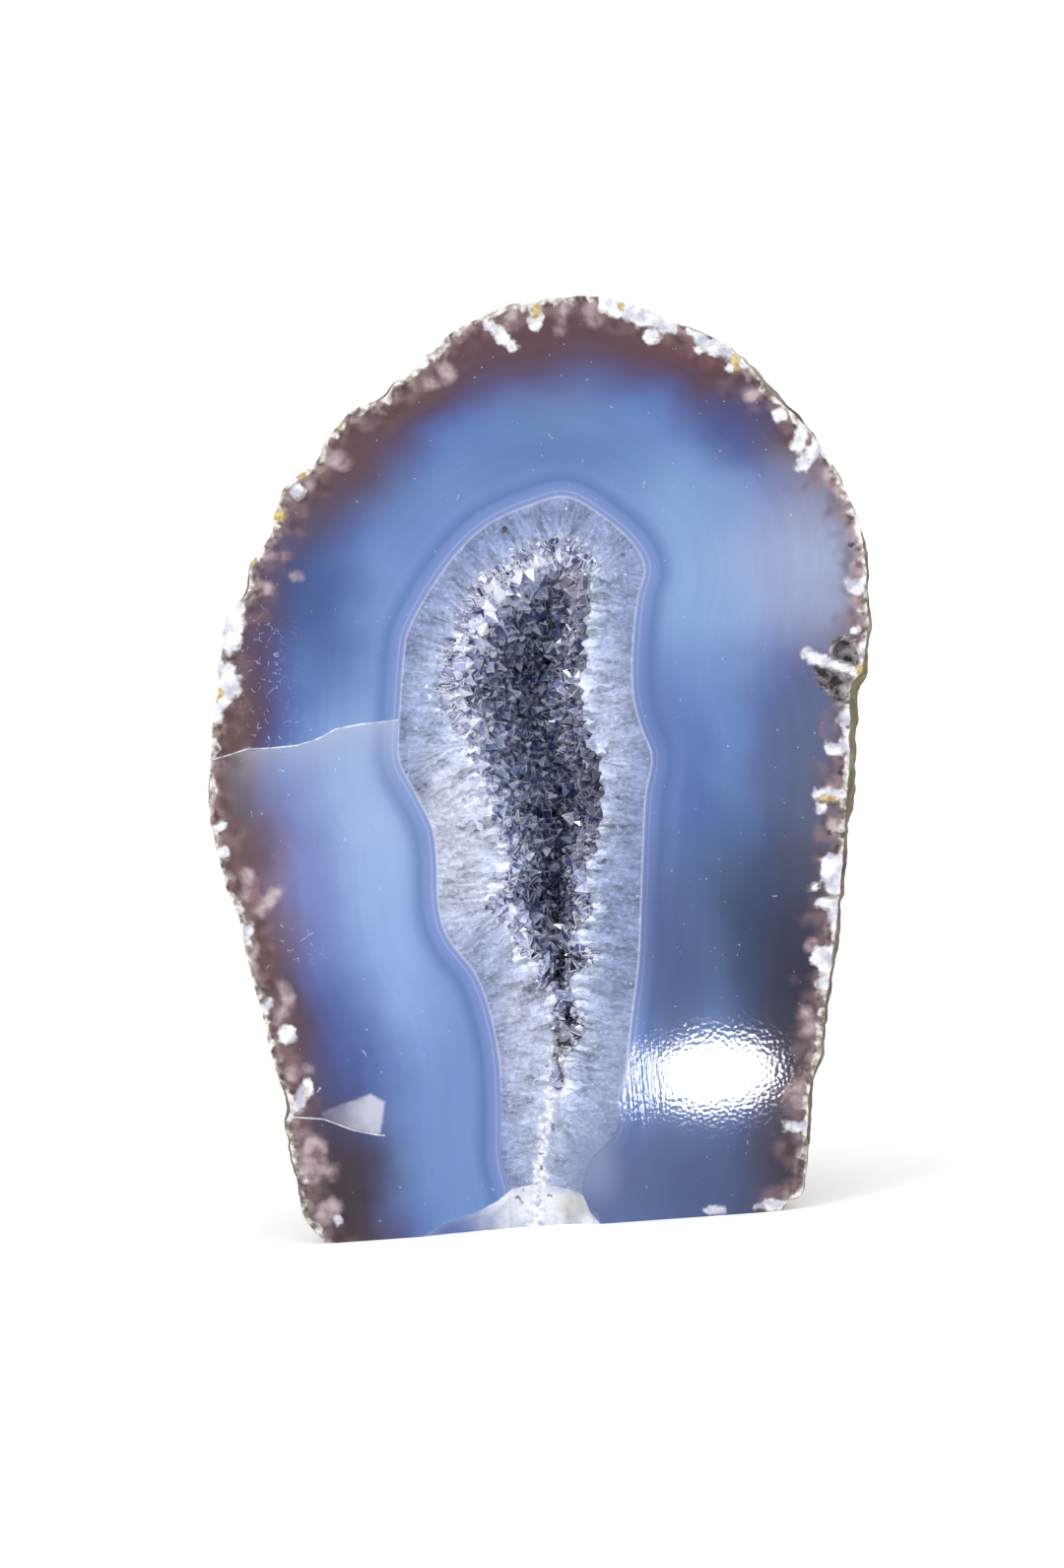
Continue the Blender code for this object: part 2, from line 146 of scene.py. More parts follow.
def closed(loop):  # the loop with its first point again at its end
    return np.vstack((loop, loop[:1]))


def matchedLoop(points, anchors, counts):  # a closed loop with these counts of points between its anchors
    steps = 16
    curve = smoothLoop(points, steps)
    runs = []
    for k, count in enumerate(counts):
        first = anchors[k] * steps
        last = anchors[(k + 1) % len(anchors)] * steps
        last += len(curve) if last <= first else 0
        runs.append(evenRun(curve[np.arange(first, last + 1) % len(curve)], count))
    return np.vstack(runs)


def runLength(points, first, last):  # the length of an outline from one of its points to another
    return np.linalg.norm(np.diff(np.asarray(points + points[:1])[first:last + 1], axis=0), axis=1).sum()


def outward(loop):  # the direction square to a clockwise loop at each point
    along = np.roll(loop, -2, 0) - np.roll(loop, 2, 0)
    square = np.column_stack((-along[:, 1], along[:, 0]))
    return square / np.linalg.norm(square, axis=1)[:, None]


def smoothStep(low, high, value):
    t = np.clip((value - low) / (high - low), 0.0, 1.0)
    return t * t * (3 - 2 * t)


def distanceTo(points, run):  # how far points of the face are from a run of points joined by straight lines
    nearest = np.full(len(points), 1e9)
    for start, end in zip(np.asarray(run, float)[:-1], np.asarray(run, float)[1:]):
        line = end - start
        share = np.clip((points - start) @ line / max(line @ line, 1e-12), 0.0, 1.0)
        nearest = np.minimum(nearest, np.linalg.norm(points - start - share[:, None] * line, axis=1))
    return nearest


def isInside(points, loop):
    loop = np.asarray(loop, float)
    inside = np.zeros(len(points), bool)
    for start, end in zip(loop, np.roll(loop, -1, 0)):
        crosses = (start[1] > points[:, 1]) != (end[1] > points[:, 1])
        rise = end[1] - start[1] if end[1] != start[1] else 1e-12
        inside ^= crosses & (points[:, 0] < start[0] + (points[:, 1] - start[1]) * (end[0] - start[0]) / rise)
    return inside


def noiseAt(points, spacing, seed=0.0):  # smooth noise between about -1 and 1, with lumps this far apart
    shift = Vector((seed, seed * 1.7, seed * 0.3))
    return np.array([noise.noise(Vector(point) / spacing + shift) for point in points])


def ringFaces(outer, inner):  # joins two closed rings of vertex numbers, of the same count or not
    if len(outer) == len(inner):
        return [tuple(q) for q in np.column_stack((outer, np.roll(outer, -1), np.roll(inner, -1), inner))]
    faces, i, k = [], 0, 0
    while i < len(outer) or k < len(inner):
        nextOuter, nextInner = (i + 1) / len(outer), (k + 1) / len(inner)
        here, there = outer[i % len(outer)], inner[k % len(inner)]
        if k == len(inner) or (i < len(outer) and nextOuter <= nextInner):
            faces.append((here, outer[(i + 1) % len(outer)], there))
            i += 1
        else:
            faces.append((here, inner[(k + 1) % len(inner)], there))
            k += 1
    return faces


def gridOver(outline, step):
    low, high = outline.min(0), outline.max(0)
    grid = np.meshgrid(np.arange(low[0], high[0], step), np.arange(low[1], high[1], step))
    return np.stack(grid, -1).reshape(-1, 2)


def around(first, count):  # the edges of a closed ring of numbered points
    return [(first + i, first + (i + 1) % count) for i in range(count)]


def filled(flat, edges):  # triangles between points of a plane, along all the given edges, and their middles
    made = geometry.delaunay_2d_cdt([Vector(point) for point in flat], edges, [], 0, 1e-6)
    points, _, triangles, sources = made[:4]
    middles = np.array([sum((points[i] for i in triangle), Vector((0, 0))) / 3 for triangle in triangles])
    return [[sources[i][0] for i in triangle] for triangle in triangles], middles


class Shell:  # points in the face's frame, faces and their material slots, while a piece is put together
    def __init__(self):
        self.points, self.faces, self.slots, self.count = [], [], [], 0

    def add(self, points):
        self.points.append(np.asarray(points, float))
        self.count += len(points)
        return np.arange(self.count - len(points), self.count)

    def join(self, faces, slot):
        self.faces += faces
        self.slots += [slot] * len(faces)

    def closeAt(self, ring, pole, slot):
        tip = self.add([pole])[0]
        self.join([(ring[i], ring[(i + 1) % len(ring)], tip) for i in range(len(ring))], slot)

    def addBowl(self, ring, outline, depth, slot):  # a round bottom behind a ring of points along the outline
        middle = np.array(crust["centre"])
        for step in range(1, 10):
            turn = math.pi / 2 * (step / 10) ** 1.15
            count = 2 * round(len(outline) / 6 * math.cos(turn) ** 0.9)
            loop = outline[(np.arange(count) * len(outline) / count).astype(int)]
            flat = middle + (loop - middle) * math.cos(turn) ** stone["roundness"]
            inner = self.add(flat3d(flat, depth * math.sin(turn)))
            self.join(ringFaces(ring, inner), slot)
            ring = inner
        self.closeAt(ring, (*middle, depth), slot)

    def mesh(self, name):
        made = bpy.data.meshes.new(name)
        faces = [tuple(int(i) for i in face) for face in self.faces]
        made.from_pydata(placed(np.vstack(self.points)), [], faces)
        made.polygons.foreach_set("material_index", self.slots)
        return made


def flat3d(points, deep):
    return np.column_stack((points, np.broadcast_to(deep, len(points))))


def chipAndPit(points):  # how far the broken places sink below the cut face
    sink = np.zeros(len(points))
    inChip = isInside(points, chipOutline)
    edge = distanceTo(points, chipOutline)
    ripple = 0.12 * np.sin(edge * 3.2) + 0.25 * noiseAt(flat3d(points, 3.0), 2.2)
    chip = stone["chipDepth"] * (1.0 - np.exp(-edge / 1.7)) + ripple * smoothStep(0.0, 1.2, edge)
    sink = np.where(inChip, np.maximum(chip, 0.0), sink)
    inPit = isInside(points, pitOutline)
    edge = distanceTo(points, closed(pitOutline))
    tube = distanceTo(points, stone["barOverPit"])
    pit = stone["pitDepth"] * smoothStep(0.0, 0.9, edge) * smoothStep(0.5, 1.0, tube)
    return np.where(inPit, pit, sink)


print("stone: outlines")
stoneAnchors = [0, 11, 34, 47, 63, 66]
quartzAnchors = [0, 11, 19, 22, 38, 40]
stoneCounts = []
for k, first in enumerate(stoneAnchors):
    last = stoneAnchors[k + 1] if k + 1 < len(stoneAnchors) else len(stoneOutline)
    stoneCounts.append(2 * round(runLength(stoneOutline, first, last) / stone["edgeSpacing"] / 2))
silhouette = matchedLoop(stoneOutline, stoneAnchors, stoneCounts)
hollowLoop = matchedLoop(quartzOutline, quartzAnchors, stoneCounts)
hollowLoop = hollowLoop + outward(hollowLoop) * crust["hollowGap"]
fray = 0.16 * noiseAt(flat3d(silhouette, 0.0), 1.1, 4.0) + 0.22 * noiseAt(flat3d(silhouette, 0.0), 2.6, 9.0)
silhouette = silhouette + outward(silhouette) * (fray - 0.15)[:, None]
skinShare = np.clip((silhouette[:, 0] - 20.0) / 15.0, 0.0, 1.0)
skinWidth = stone["skinLeft"] + (stone["skinRight"] - stone["skinLeft"]) * skinShare
faceEdge = silhouette - outward(silhouette) * skinWidth[:, None]


def roundedLoop(loop, reach):  # the loop with its nicks averaged away over this many mm to each side
    half = int(reach / stone["edgeSpacing"])
    wrapped = np.vstack((loop[-half:], loop, loop[:half]))
    sums = np.cumsum(np.vstack((np.zeros((1, 2)), wrapped)), axis=0)
    return (sums[2 * half + 1:] - sums[:-2 * half - 1]) / (2 * half + 1)


def skinPoints():  # rings of the natural skin, from the face's edge to the pole behind
    centre = np.array(stone["centre"])
    rounded = roundedLoop(silhouette, stone["rounding"])
    rings = []
    for ring in range(1, stone["skinRings"]):
        share = ring / stone["skinRings"]
        turn = math.pi / 2 * share**1.15
        count = len(silhouette)
        if ring > 12:
            narrowing = min(1.0, 1.1 * math.cos(turn) ** stone["roundness"])
            count = max(14, 2 * round(len(silhouette) / 4 * narrowing))
        places = np.arange(count) * len(silhouette) / count
        first = places.astype(int)
        second = (first + 1) % len(silhouette)
        part = (places - first)[:, None]
        edge = silhouette[first] * (1 - part) + silhouette[second] * part
        narrow = faceEdge[first] * (1 - part) + faceEdge[second] * part
        edge = narrow + (edge - narrow) * smoothStep(0.0, 1.0, min(1.0, 19.0 * share))
        calm = rounded[first] * (1 - part) + rounded[second] * part
        natural = min(1.0, 3.0 * share)
        edge = edge + (calm - edge) * natural
        flat = centre + (edge - centre) * math.cos(turn) ** stone["roundness"]
        rings.append((flat3d(flat, stone["depth"] * math.sin(turn)), natural))
    return rings


def lumpHeights(points, natural):  # how far the skin stands out, less where it meets the cut face
    big = sum(tall * noiseAt(points, size) for size, tall in stone["lumps"])
    fine = sum(tall * noiseAt(points, size, 5.0) for size, tall in stone["roughness"])
    return big * natural + (fine - 0.35) * min(1.0, natural * 5.0)


def sawBase(bm, slot):  # cuts at the ground and closes the cut with a flat face that has points inside it
    everything = [*bm.verts, *bm.edges, *bm.faces]
    bmesh.ops.bisect_plane(bm, geom=everything, plane_co=(0, 0, 0), plane_no=(0, 0, -1), clear_outer=True,
                           dist=1e-7)
    edges = [edge for edge in bm.edges if edge.is_boundary]
    loop = [edges[0].verts[0]]
    edge = edges[0]
    while True:
        after = edge.other_vert(loop[-1])
        if after is loop[0]:
            break
        loop.append(after)
        edge = next(e for e in after.link_edges if e.is_boundary and e is not edge)
    outline = np.array([vert.co.xy for vert in loop]) * 1000.0
    grid = gridOver(outline, stone["baseSpacing"])
    grid = grid[isInside(grid, outline)]
    grid = grid[distanceTo(grid, closed(outline)) > stone["baseSpacing"] / 2]
    triangles, middles = filled(np.vstack((outline, grid)), around(0, len(loop)))
    verts = loop + [bm.verts.new((point[0] * 0.001, point[1] * 0.001, 0.0)) for point in grid]
    wide = distanceTo(middles, closed(outline)) > 1e-4  # leaves out slivers beside the outline
    for triangle, wanted in zip(triangles, isInside(middles, outline) & wide):
        if wanted:
            bm.faces.new([verts[i] for i in triangle]).material_index = slot


def addObject(name, data):
    made = bpy.data.objects.new(name, data)
    bpy.context.scene.collection.objects.link(made)
    return made


def pieceFrom(shell, name, sawSlot):  # the finished piece, sawn off flat at the ground
    bm = bmesh.new()
    bm.from_mesh(shell.mesh(name + "Draft"))
    sawBase(bm, sawSlot)
    bmesh.ops.recalc_face_normals(bm, faces=bm.faces)
    mesh = bpy.data.meshes.new(name)
    bm.to_mesh(mesh)
    bm.free()
    return addObject(name, mesh)


def meshPoints(mesh):
    points = np.empty(len(mesh.vertices) * 3)
    mesh.vertices.foreach_get("co", points)
    return points.reshape(-1, 3)


def setField(mesh, name, values, domain="POINT"):  # keeps a value at each point or corner for the materials
    field = mesh.attributes.new(name, "FLOAT_VECTOR" if np.ndim(values) == 2 else "FLOAT", domain)
    key = "vector" if np.ndim(values) == 2 else "value"
    field.data.foreach_set(key, np.asarray(values, np.float32).ravel())


def makeStone():
    shell = Shell()
    rows = []
    for row in range(stone["faceRows"] + 1):
        share = (row / stone["faceRows"]) ** 1.35
        flat = faceEdge + (hollowLoop - faceEdge) * share
        rows.append(shell.add(flat3d(flat, chipAndPit(flat))))
    for outer, inner in zip(rows, rows[1:]):
        shell.join(ringFaces(outer, inner), faceSlot)
    last = rows[0]
    centre = np.array((*stone["centre"], 0.0))
    for points, natural in skinPoints():
        away = points - centre
        away /= np.linalg.norm(away, axis=1)[:, None]
        ring = shell.add(points + away * lumpHeights(points, natural)[:, None])
        shell.join(ringFaces(ring, last), skinSlot)
        last = ring
    shell.closeAt(last, (*stone["centre"], stone["depth"]), skinSlot)
    shell.addBowl(rows[-1], hollowLoop, crust["depth"] + crust["gapBehind"], hollowSlot)
    return pieceFrom(shell, "agateStone", sawnSlot)


def cavityFloor(points):  # the depth of the cavity's floor below the cut face, before its crystals
    gentle = crust["cavityDepth"] * (1 - np.exp(-distanceTo(points, cavityLeft) / crust["leftWallReach"]))
    return np.minimum(gentle, crust["rightWallSlope"] * distanceTo(points, cavityRight))


crustOutline = evenRun(closed(smoothLoop(quartzOutline, 16)), crust["outlinePoints"])
rimLoop = evenRun(closed(smoothLoop(cavityLeft[:-1] + cavityRight[:-1], 8)), crust["rimPoints"])
teeth = 0.75 * noiseAt(flat3d(rimLoop, 0.0), 0.75, 2.0) + 0.5 * noiseAt(flat3d(rimLoop, 0.0), 1.7, 6.0)
teeth *= 0.12 + 0.88 * smoothStep(33.0, 42.0, rimLoop[:, 1])
rimLoop = rimLoop + outward(rimLoop) * teeth[:, None]


def rimBelt(flat):  # 1 at the cavity's rim, falling to 0 where the polish is whole again
    reach = distanceTo(flat, closed(rimLoop))
    leftness = smoothStep(-3.0, 3.0, distanceTo(flat, cavityRight[3:]) - distanceTo(flat, cavityLeft))
    upper = leftness * smoothStep(57.0, 68.0, flat[:, 1])
    width = crust["beltLow"] * (0.3 + 0.7 * leftness) + (crust["beltHigh"] - crust["beltLow"]) * upper
    width *= 0.35 + 0.65 * smoothStep(18.0, 34.0, flat[:, 1])
    width += 1.6 * np.exp(-np.linalg.norm((flat - (-2.6, 38.5)) / (3.0, 3.5), axis=1) ** 2)
    return np.clip(1.0 - reach / (width * (1.0 + 0.35 * noiseAt(flat3d(flat, 0.0), 1.6))), 0.0, 1.0)


def makeCrust():
    shell = Shell()
    step = crust["spacing"]
    grid = gridOver(crustOutline, step)
    grid += np.random.default_rng(3).uniform(-0.2, 0.2, grid.shape) * step
    grid = grid[isInside(grid, crustOutline)]
    clear = np.minimum(distanceTo(grid, closed(crustOutline)), distanceTo(grid, closed(rimLoop)))
    grid = grid[clear > step * 0.6]
    flat = np.vstack((crustOutline, rimLoop, grid))
    sink = np.maximum(chipAndPit(flat), crust["beltDepth"] * rimBelt(flat))
    inBed = np.zeros(len(flat), bool)
    inBed[len(crustOutline) + len(rimLoop):] = isInside(grid, rimLoop)
    bed = cavityFloor(flat[inBed]) + 0.4 * noiseAt(flat3d(flat[inBed], 0.0), 1.3)
    sink[inBed] = np.maximum(bed, 0.3)
    numbers = shell.add(flat3d(flat, sink))
    count = len(crustOutline)
    triangles, middles = filled(flat, around(0, count) + around(count, len(rimLoop)))
    inOutline, inRim = isInside(middles, crustOutline), isInside(middles, rimLoop)
    for triangle, kept, broken in zip(triangles, inOutline, inRim):
        if kept:
            shell.join([tuple(numbers[triangle])], bedSlot if broken else faceSlot)
    shell.addBowl(numbers[:count], crustOutline, crust["depth"], backSlot)
    return pieceFrom(shell, "quartzCrust", backSlot)


druse = {
    "spacing": 1.22, "widths": (0.5, 1.3), "tries": 90000, "seed": 11, "sunk": 1.1, "cutMargin": 0.03,
    "lean": 0.36, "pyramid": 1.05, "prism": (0.1, 0.9), "whiteReach": 2.1, "facetRange": 0.68,
    "cornerRange": 0.3, "tone": 0.15, "toneRange": 0.28, "whiteTone": 0.32, "glintTone": 0.3,
    "glintAbove": 0.88, "shadeTone": 0.24, "shadeReach": 2.2, "upperTone": 0.09, "beltTone": 0.16,
    "beltToneRange": 0.45, "beltTries": 9000, "beltSpacing": 0.55, "beltWidths": (0.26, 0.62),
    "beltLean": 0.24, "beltRise": 0.12,
    "bright": [  # single crystals that catch the light: across, up, radius, tone
        (-1.6, 79.8, 0.75, 0.75), (2.2, 80.1, 0.7, 0.7), (4.9, 73.7, 1.3, 0.45), (8.0, 69.0, 0.8, 1.0),
        (8.4, 64.3, 0.8, 0.8), (-0.4, 32.7, 1.0, 0.95), (-2.6, 40.4, 1.0, 0.9), (-1.4, 36.8, 1.0, 0.85),
        (3.2, 45.6, 0.8, 0.75), (5.2, 44.4, 0.7, 0.7), (8.3, 79.8, 0.5, 1.0), (-4.2, 73.0, 0.6, 0.6),
        (0.8, 66.0, 1.0, 0.5), (6.2, 43.4, 0.7, 0.8),
    ],
}


# Partly painted light: crystals by the left and upper rim are lighter for the white quartz under them and as
# light on the lit upper slope
def whiteAndLitShare(flat):  # 1 at the left and upper rim, where crystals stand on white quartz, less inwards
    reach = distanceTo(flat, cavityLeft + cavityRight[1:3])
    upper = smoothStep(52.0, 66.0, flat[:, 1]) * smoothStep(0.6, 3.0, distanceTo(flat, cavityRight[3:]))
    lowerRim = 0.8 * np.exp(-np.linalg.norm(flat - (-2.2, 38.5), axis=1) / 3.0)
    return np.exp(-reach / druse["whiteReach"]) * np.maximum(0.2 + 0.8 * upper, lowerRim)


def crystalFeet():  # where crystals stand on the cavity's floor, and which way the floor faces there
    rng = np.random.default_rng(druse["seed"])
    low, high = rimLoop.min(0), rimLoop.max(0)
    tries = rng.uniform(low, high, (druse["tries"], 2))
    tries = tries[isInside(tries, rimLoop)]
    deep = cavityFloor(tries)
    steps = ((0.2, 0.0), (0.0, 0.2))
    slopes = [(cavityFloor(tries + step) - cavityFloor(tries - step)) / 0.4 for step in steps]
    facing = np.column_stack((*slopes, -np.ones(len(tries))))
    area = np.linalg.norm(facing, axis=1)
    facing /= area[:, None]
    feet = np.column_stack((tries, deep))
    cells = list(itertools.product((-1, 0, 1), repeat=3))
    taken, kept = {}, []
    for i in np.flatnonzero(rng.uniform(0.0, 4.7, len(tries)) < area):
        cell = tuple((feet[i] // druse["spacing"]).astype(int))
        nearby = (taken.get((cell[0] + a, cell[1] + b, cell[2] + c)) for a, b, c in cells)
        if all(near is None or math.dist(near, feet[i]) > druse["spacing"] for near in nearby):
            taken[cell] = feet[i]
            kept.append(i)
    return feet[kept], facing[kept], rng


def addCrystal(shell, rng, foot, axis, radius):
    # A six-sided prism with a point of six unequal faces; their corners get a tone, painted light and shade
    # from face to face, and distances to the edges
    axis = axis / np.linalg.norm(axis)
    side = np.cross(axis, rng.normal(0.0, 1.0, 3))
    side /= np.linalg.norm(side)
    other = np.cross(axis, side)
    turns = -math.pi / 3 * np.arange(6) + rng.uniform(-0.16, 0.16, 6)
    ring = radius * (np.outer(np.cos(turns), side) + np.outer(np.sin(turns), other))
    shoulders = radius * (rng.uniform(*druse["prism"]) + rng.uniform(-0.22, 0.22, 6))
    tip = axis * (shoulders.mean() + radius * druse["pyramid"]) + rng.normal(0.0, 0.18, 3) * radius
    points = np.vstack((ring - axis * druse["sunk"], ring + np.outer(shoulders, axis), tip)) + foot
    points[:, 2] += max(0.0, druse["cutMargin"] - points[:, 2].min())
    numbers = shell.add(points)
    bottom, top = numbers[:6], numbers[6:12]
    shell.join(ringFaces(bottom, top), 0)
    shell.join([(top[i], top[(i + 1) % 6], numbers[12]) for i in range(6)], 0)
    shell.join([tuple(bottom[::-1])], 0)
    # Painted light and shade: each face, and each corner a little, gets its own random tone, as if lit or
    # shaded
    tones = np.repeat(rng.uniform(-0.5, 0.5, 13) * druse["facetRange"], [4] * 6 + [3] * 6 + [6])
    tones += rng.uniform(-0.5, 0.5, 48) * druse["cornerRange"]
    edges = []
    for i in range(6):
        wide = np.linalg.norm(points[(i + 1) % 6] - points[i])
        tall = np.linalg.norm(points[6 + i] - points[i])
        edges += [(0.0, wide, tall), (wide, 0.0, tall), (wide, 0.0, 0.0), (0.0, wide, 0.0)]
    for i in range(6):
        trio = points[[6 + i, 6 + (i + 1) % 6, 12]]
        area = np.linalg.norm(np.cross(trio[1] - trio[0], trio[2] - trio[0]))
        heights = area / np.linalg.norm(np.roll(trio, -1, 0) - np.roll(trio, -2, 0), axis=1)
        edges += [tuple(row) for row in np.diag(heights)]
    return tones, edges + [(9.0, 9.0, 9.0)] * 6


def beltFeet(rng):  # where columns of the cut quartz end in points along the cavity's rim
    low, high = rimLoop.min(0) - 3.0, rimLoop.max(0) + 3.0
    tries = rng.uniform(low, high, (druse["beltTries"], 2))
    tries = tries[~isInside(tries, rimLoop)]
    belt = rimBelt(tries)
    kept = []
    for i in np.flatnonzero(belt > 0.08):
        if not kept or np.linalg.norm(tries[kept] - tries[i], axis=1).min() > druse["beltSpacing"]:
            kept.append(i)
    feet = tries[kept]
    nearest = np.linalg.norm(feet[:, None] - rimLoop[None], axis=2).argmin(1)
    inward = rimLoop[nearest] - feet
    inward /= np.maximum(np.linalg.norm(inward, axis=1), 0.05)[:, None]
    return feet, -outward(rimLoop)[nearest] * 0.6 + inward * 0.4, belt[kept]


def makeCrystals():
    feet, facing, rng = crystalFeet()
    shell = Shell()
    tones, edges = [], []
    narrow, wide = druse["widths"]
    shades = np.exp(-distanceTo(feet[:, :2], cavityRight[2:28]) / druse["shadeReach"])
    for foot, normal, white, shade in zip(feet, facing, whiteAndLitShare(feet[:, :2]), shades):
        axis = 0.75 * normal + (0, 0, -0.25) + rng.normal(0.0, druse["lean"], 3)
        radius = (narrow + (wide - narrow) * rng.uniform() ** 1.6) * (1.0 + 0.1 * white)
        # The tone holds painted light and shade: lighter by the left and upper rim, partly for white quartz
        # beneath; random glints; darker by the right wall; lighter high up
        tone = druse["tone"] + druse["toneRange"] * rng.uniform() + druse["whiteTone"] * white
        tone += druse["glintTone"] * (rng.uniform() > druse["glintAbove"]) - druse["shadeTone"] * shade
        tone += druse["upperTone"] * float(smoothStep(66.0, 76.0, foot[1]))
        swings, apart = addCrystal(shell, rng, foot, axis, radius)
        tones += list(tone + swings)
        edges += apart
    for across, up, radius, tone in druse["bright"]:
        deep = float(cavityFloor(np.array([(across, up)]))[0])
        axis = rng.normal(0.0, 0.25, 3) - (0, 0, 1)
        swings, apart = addCrystal(shell, rng, np.array((across, up, max(deep - 1.0, 0.8))), axis, radius)
        tones += list(tone + swings)
        edges += apart
    narrow, wide = druse["beltWidths"]
    for (across, up), (inX, inY), belt in zip(*beltFeet(rng)):
        radius = narrow + (wide - narrow) * rng.uniform()
        axis = np.array((inX, inY, -druse["beltRise"])) + rng.normal(0.0, druse["beltLean"], 3)
        foot = np.array((across, up, 0.1 + radius * 0.75 + 0.3 * belt))
        swings, apart = addCrystal(shell, rng, foot, axis, radius)
        tones += list(druse["beltTone"] + druse["beltToneRange"] * rng.uniform() + swings)
        edges += apart
    mesh = shell.mesh("druseCrystals")
    setField(mesh, "tone", tones, "CORNER")
    setField(mesh, "fromEdges", edges, "CORNER")
    setField(mesh, "facePoint", onFace(meshPoints(mesh)))
    return addObject("druseCrystals", mesh)


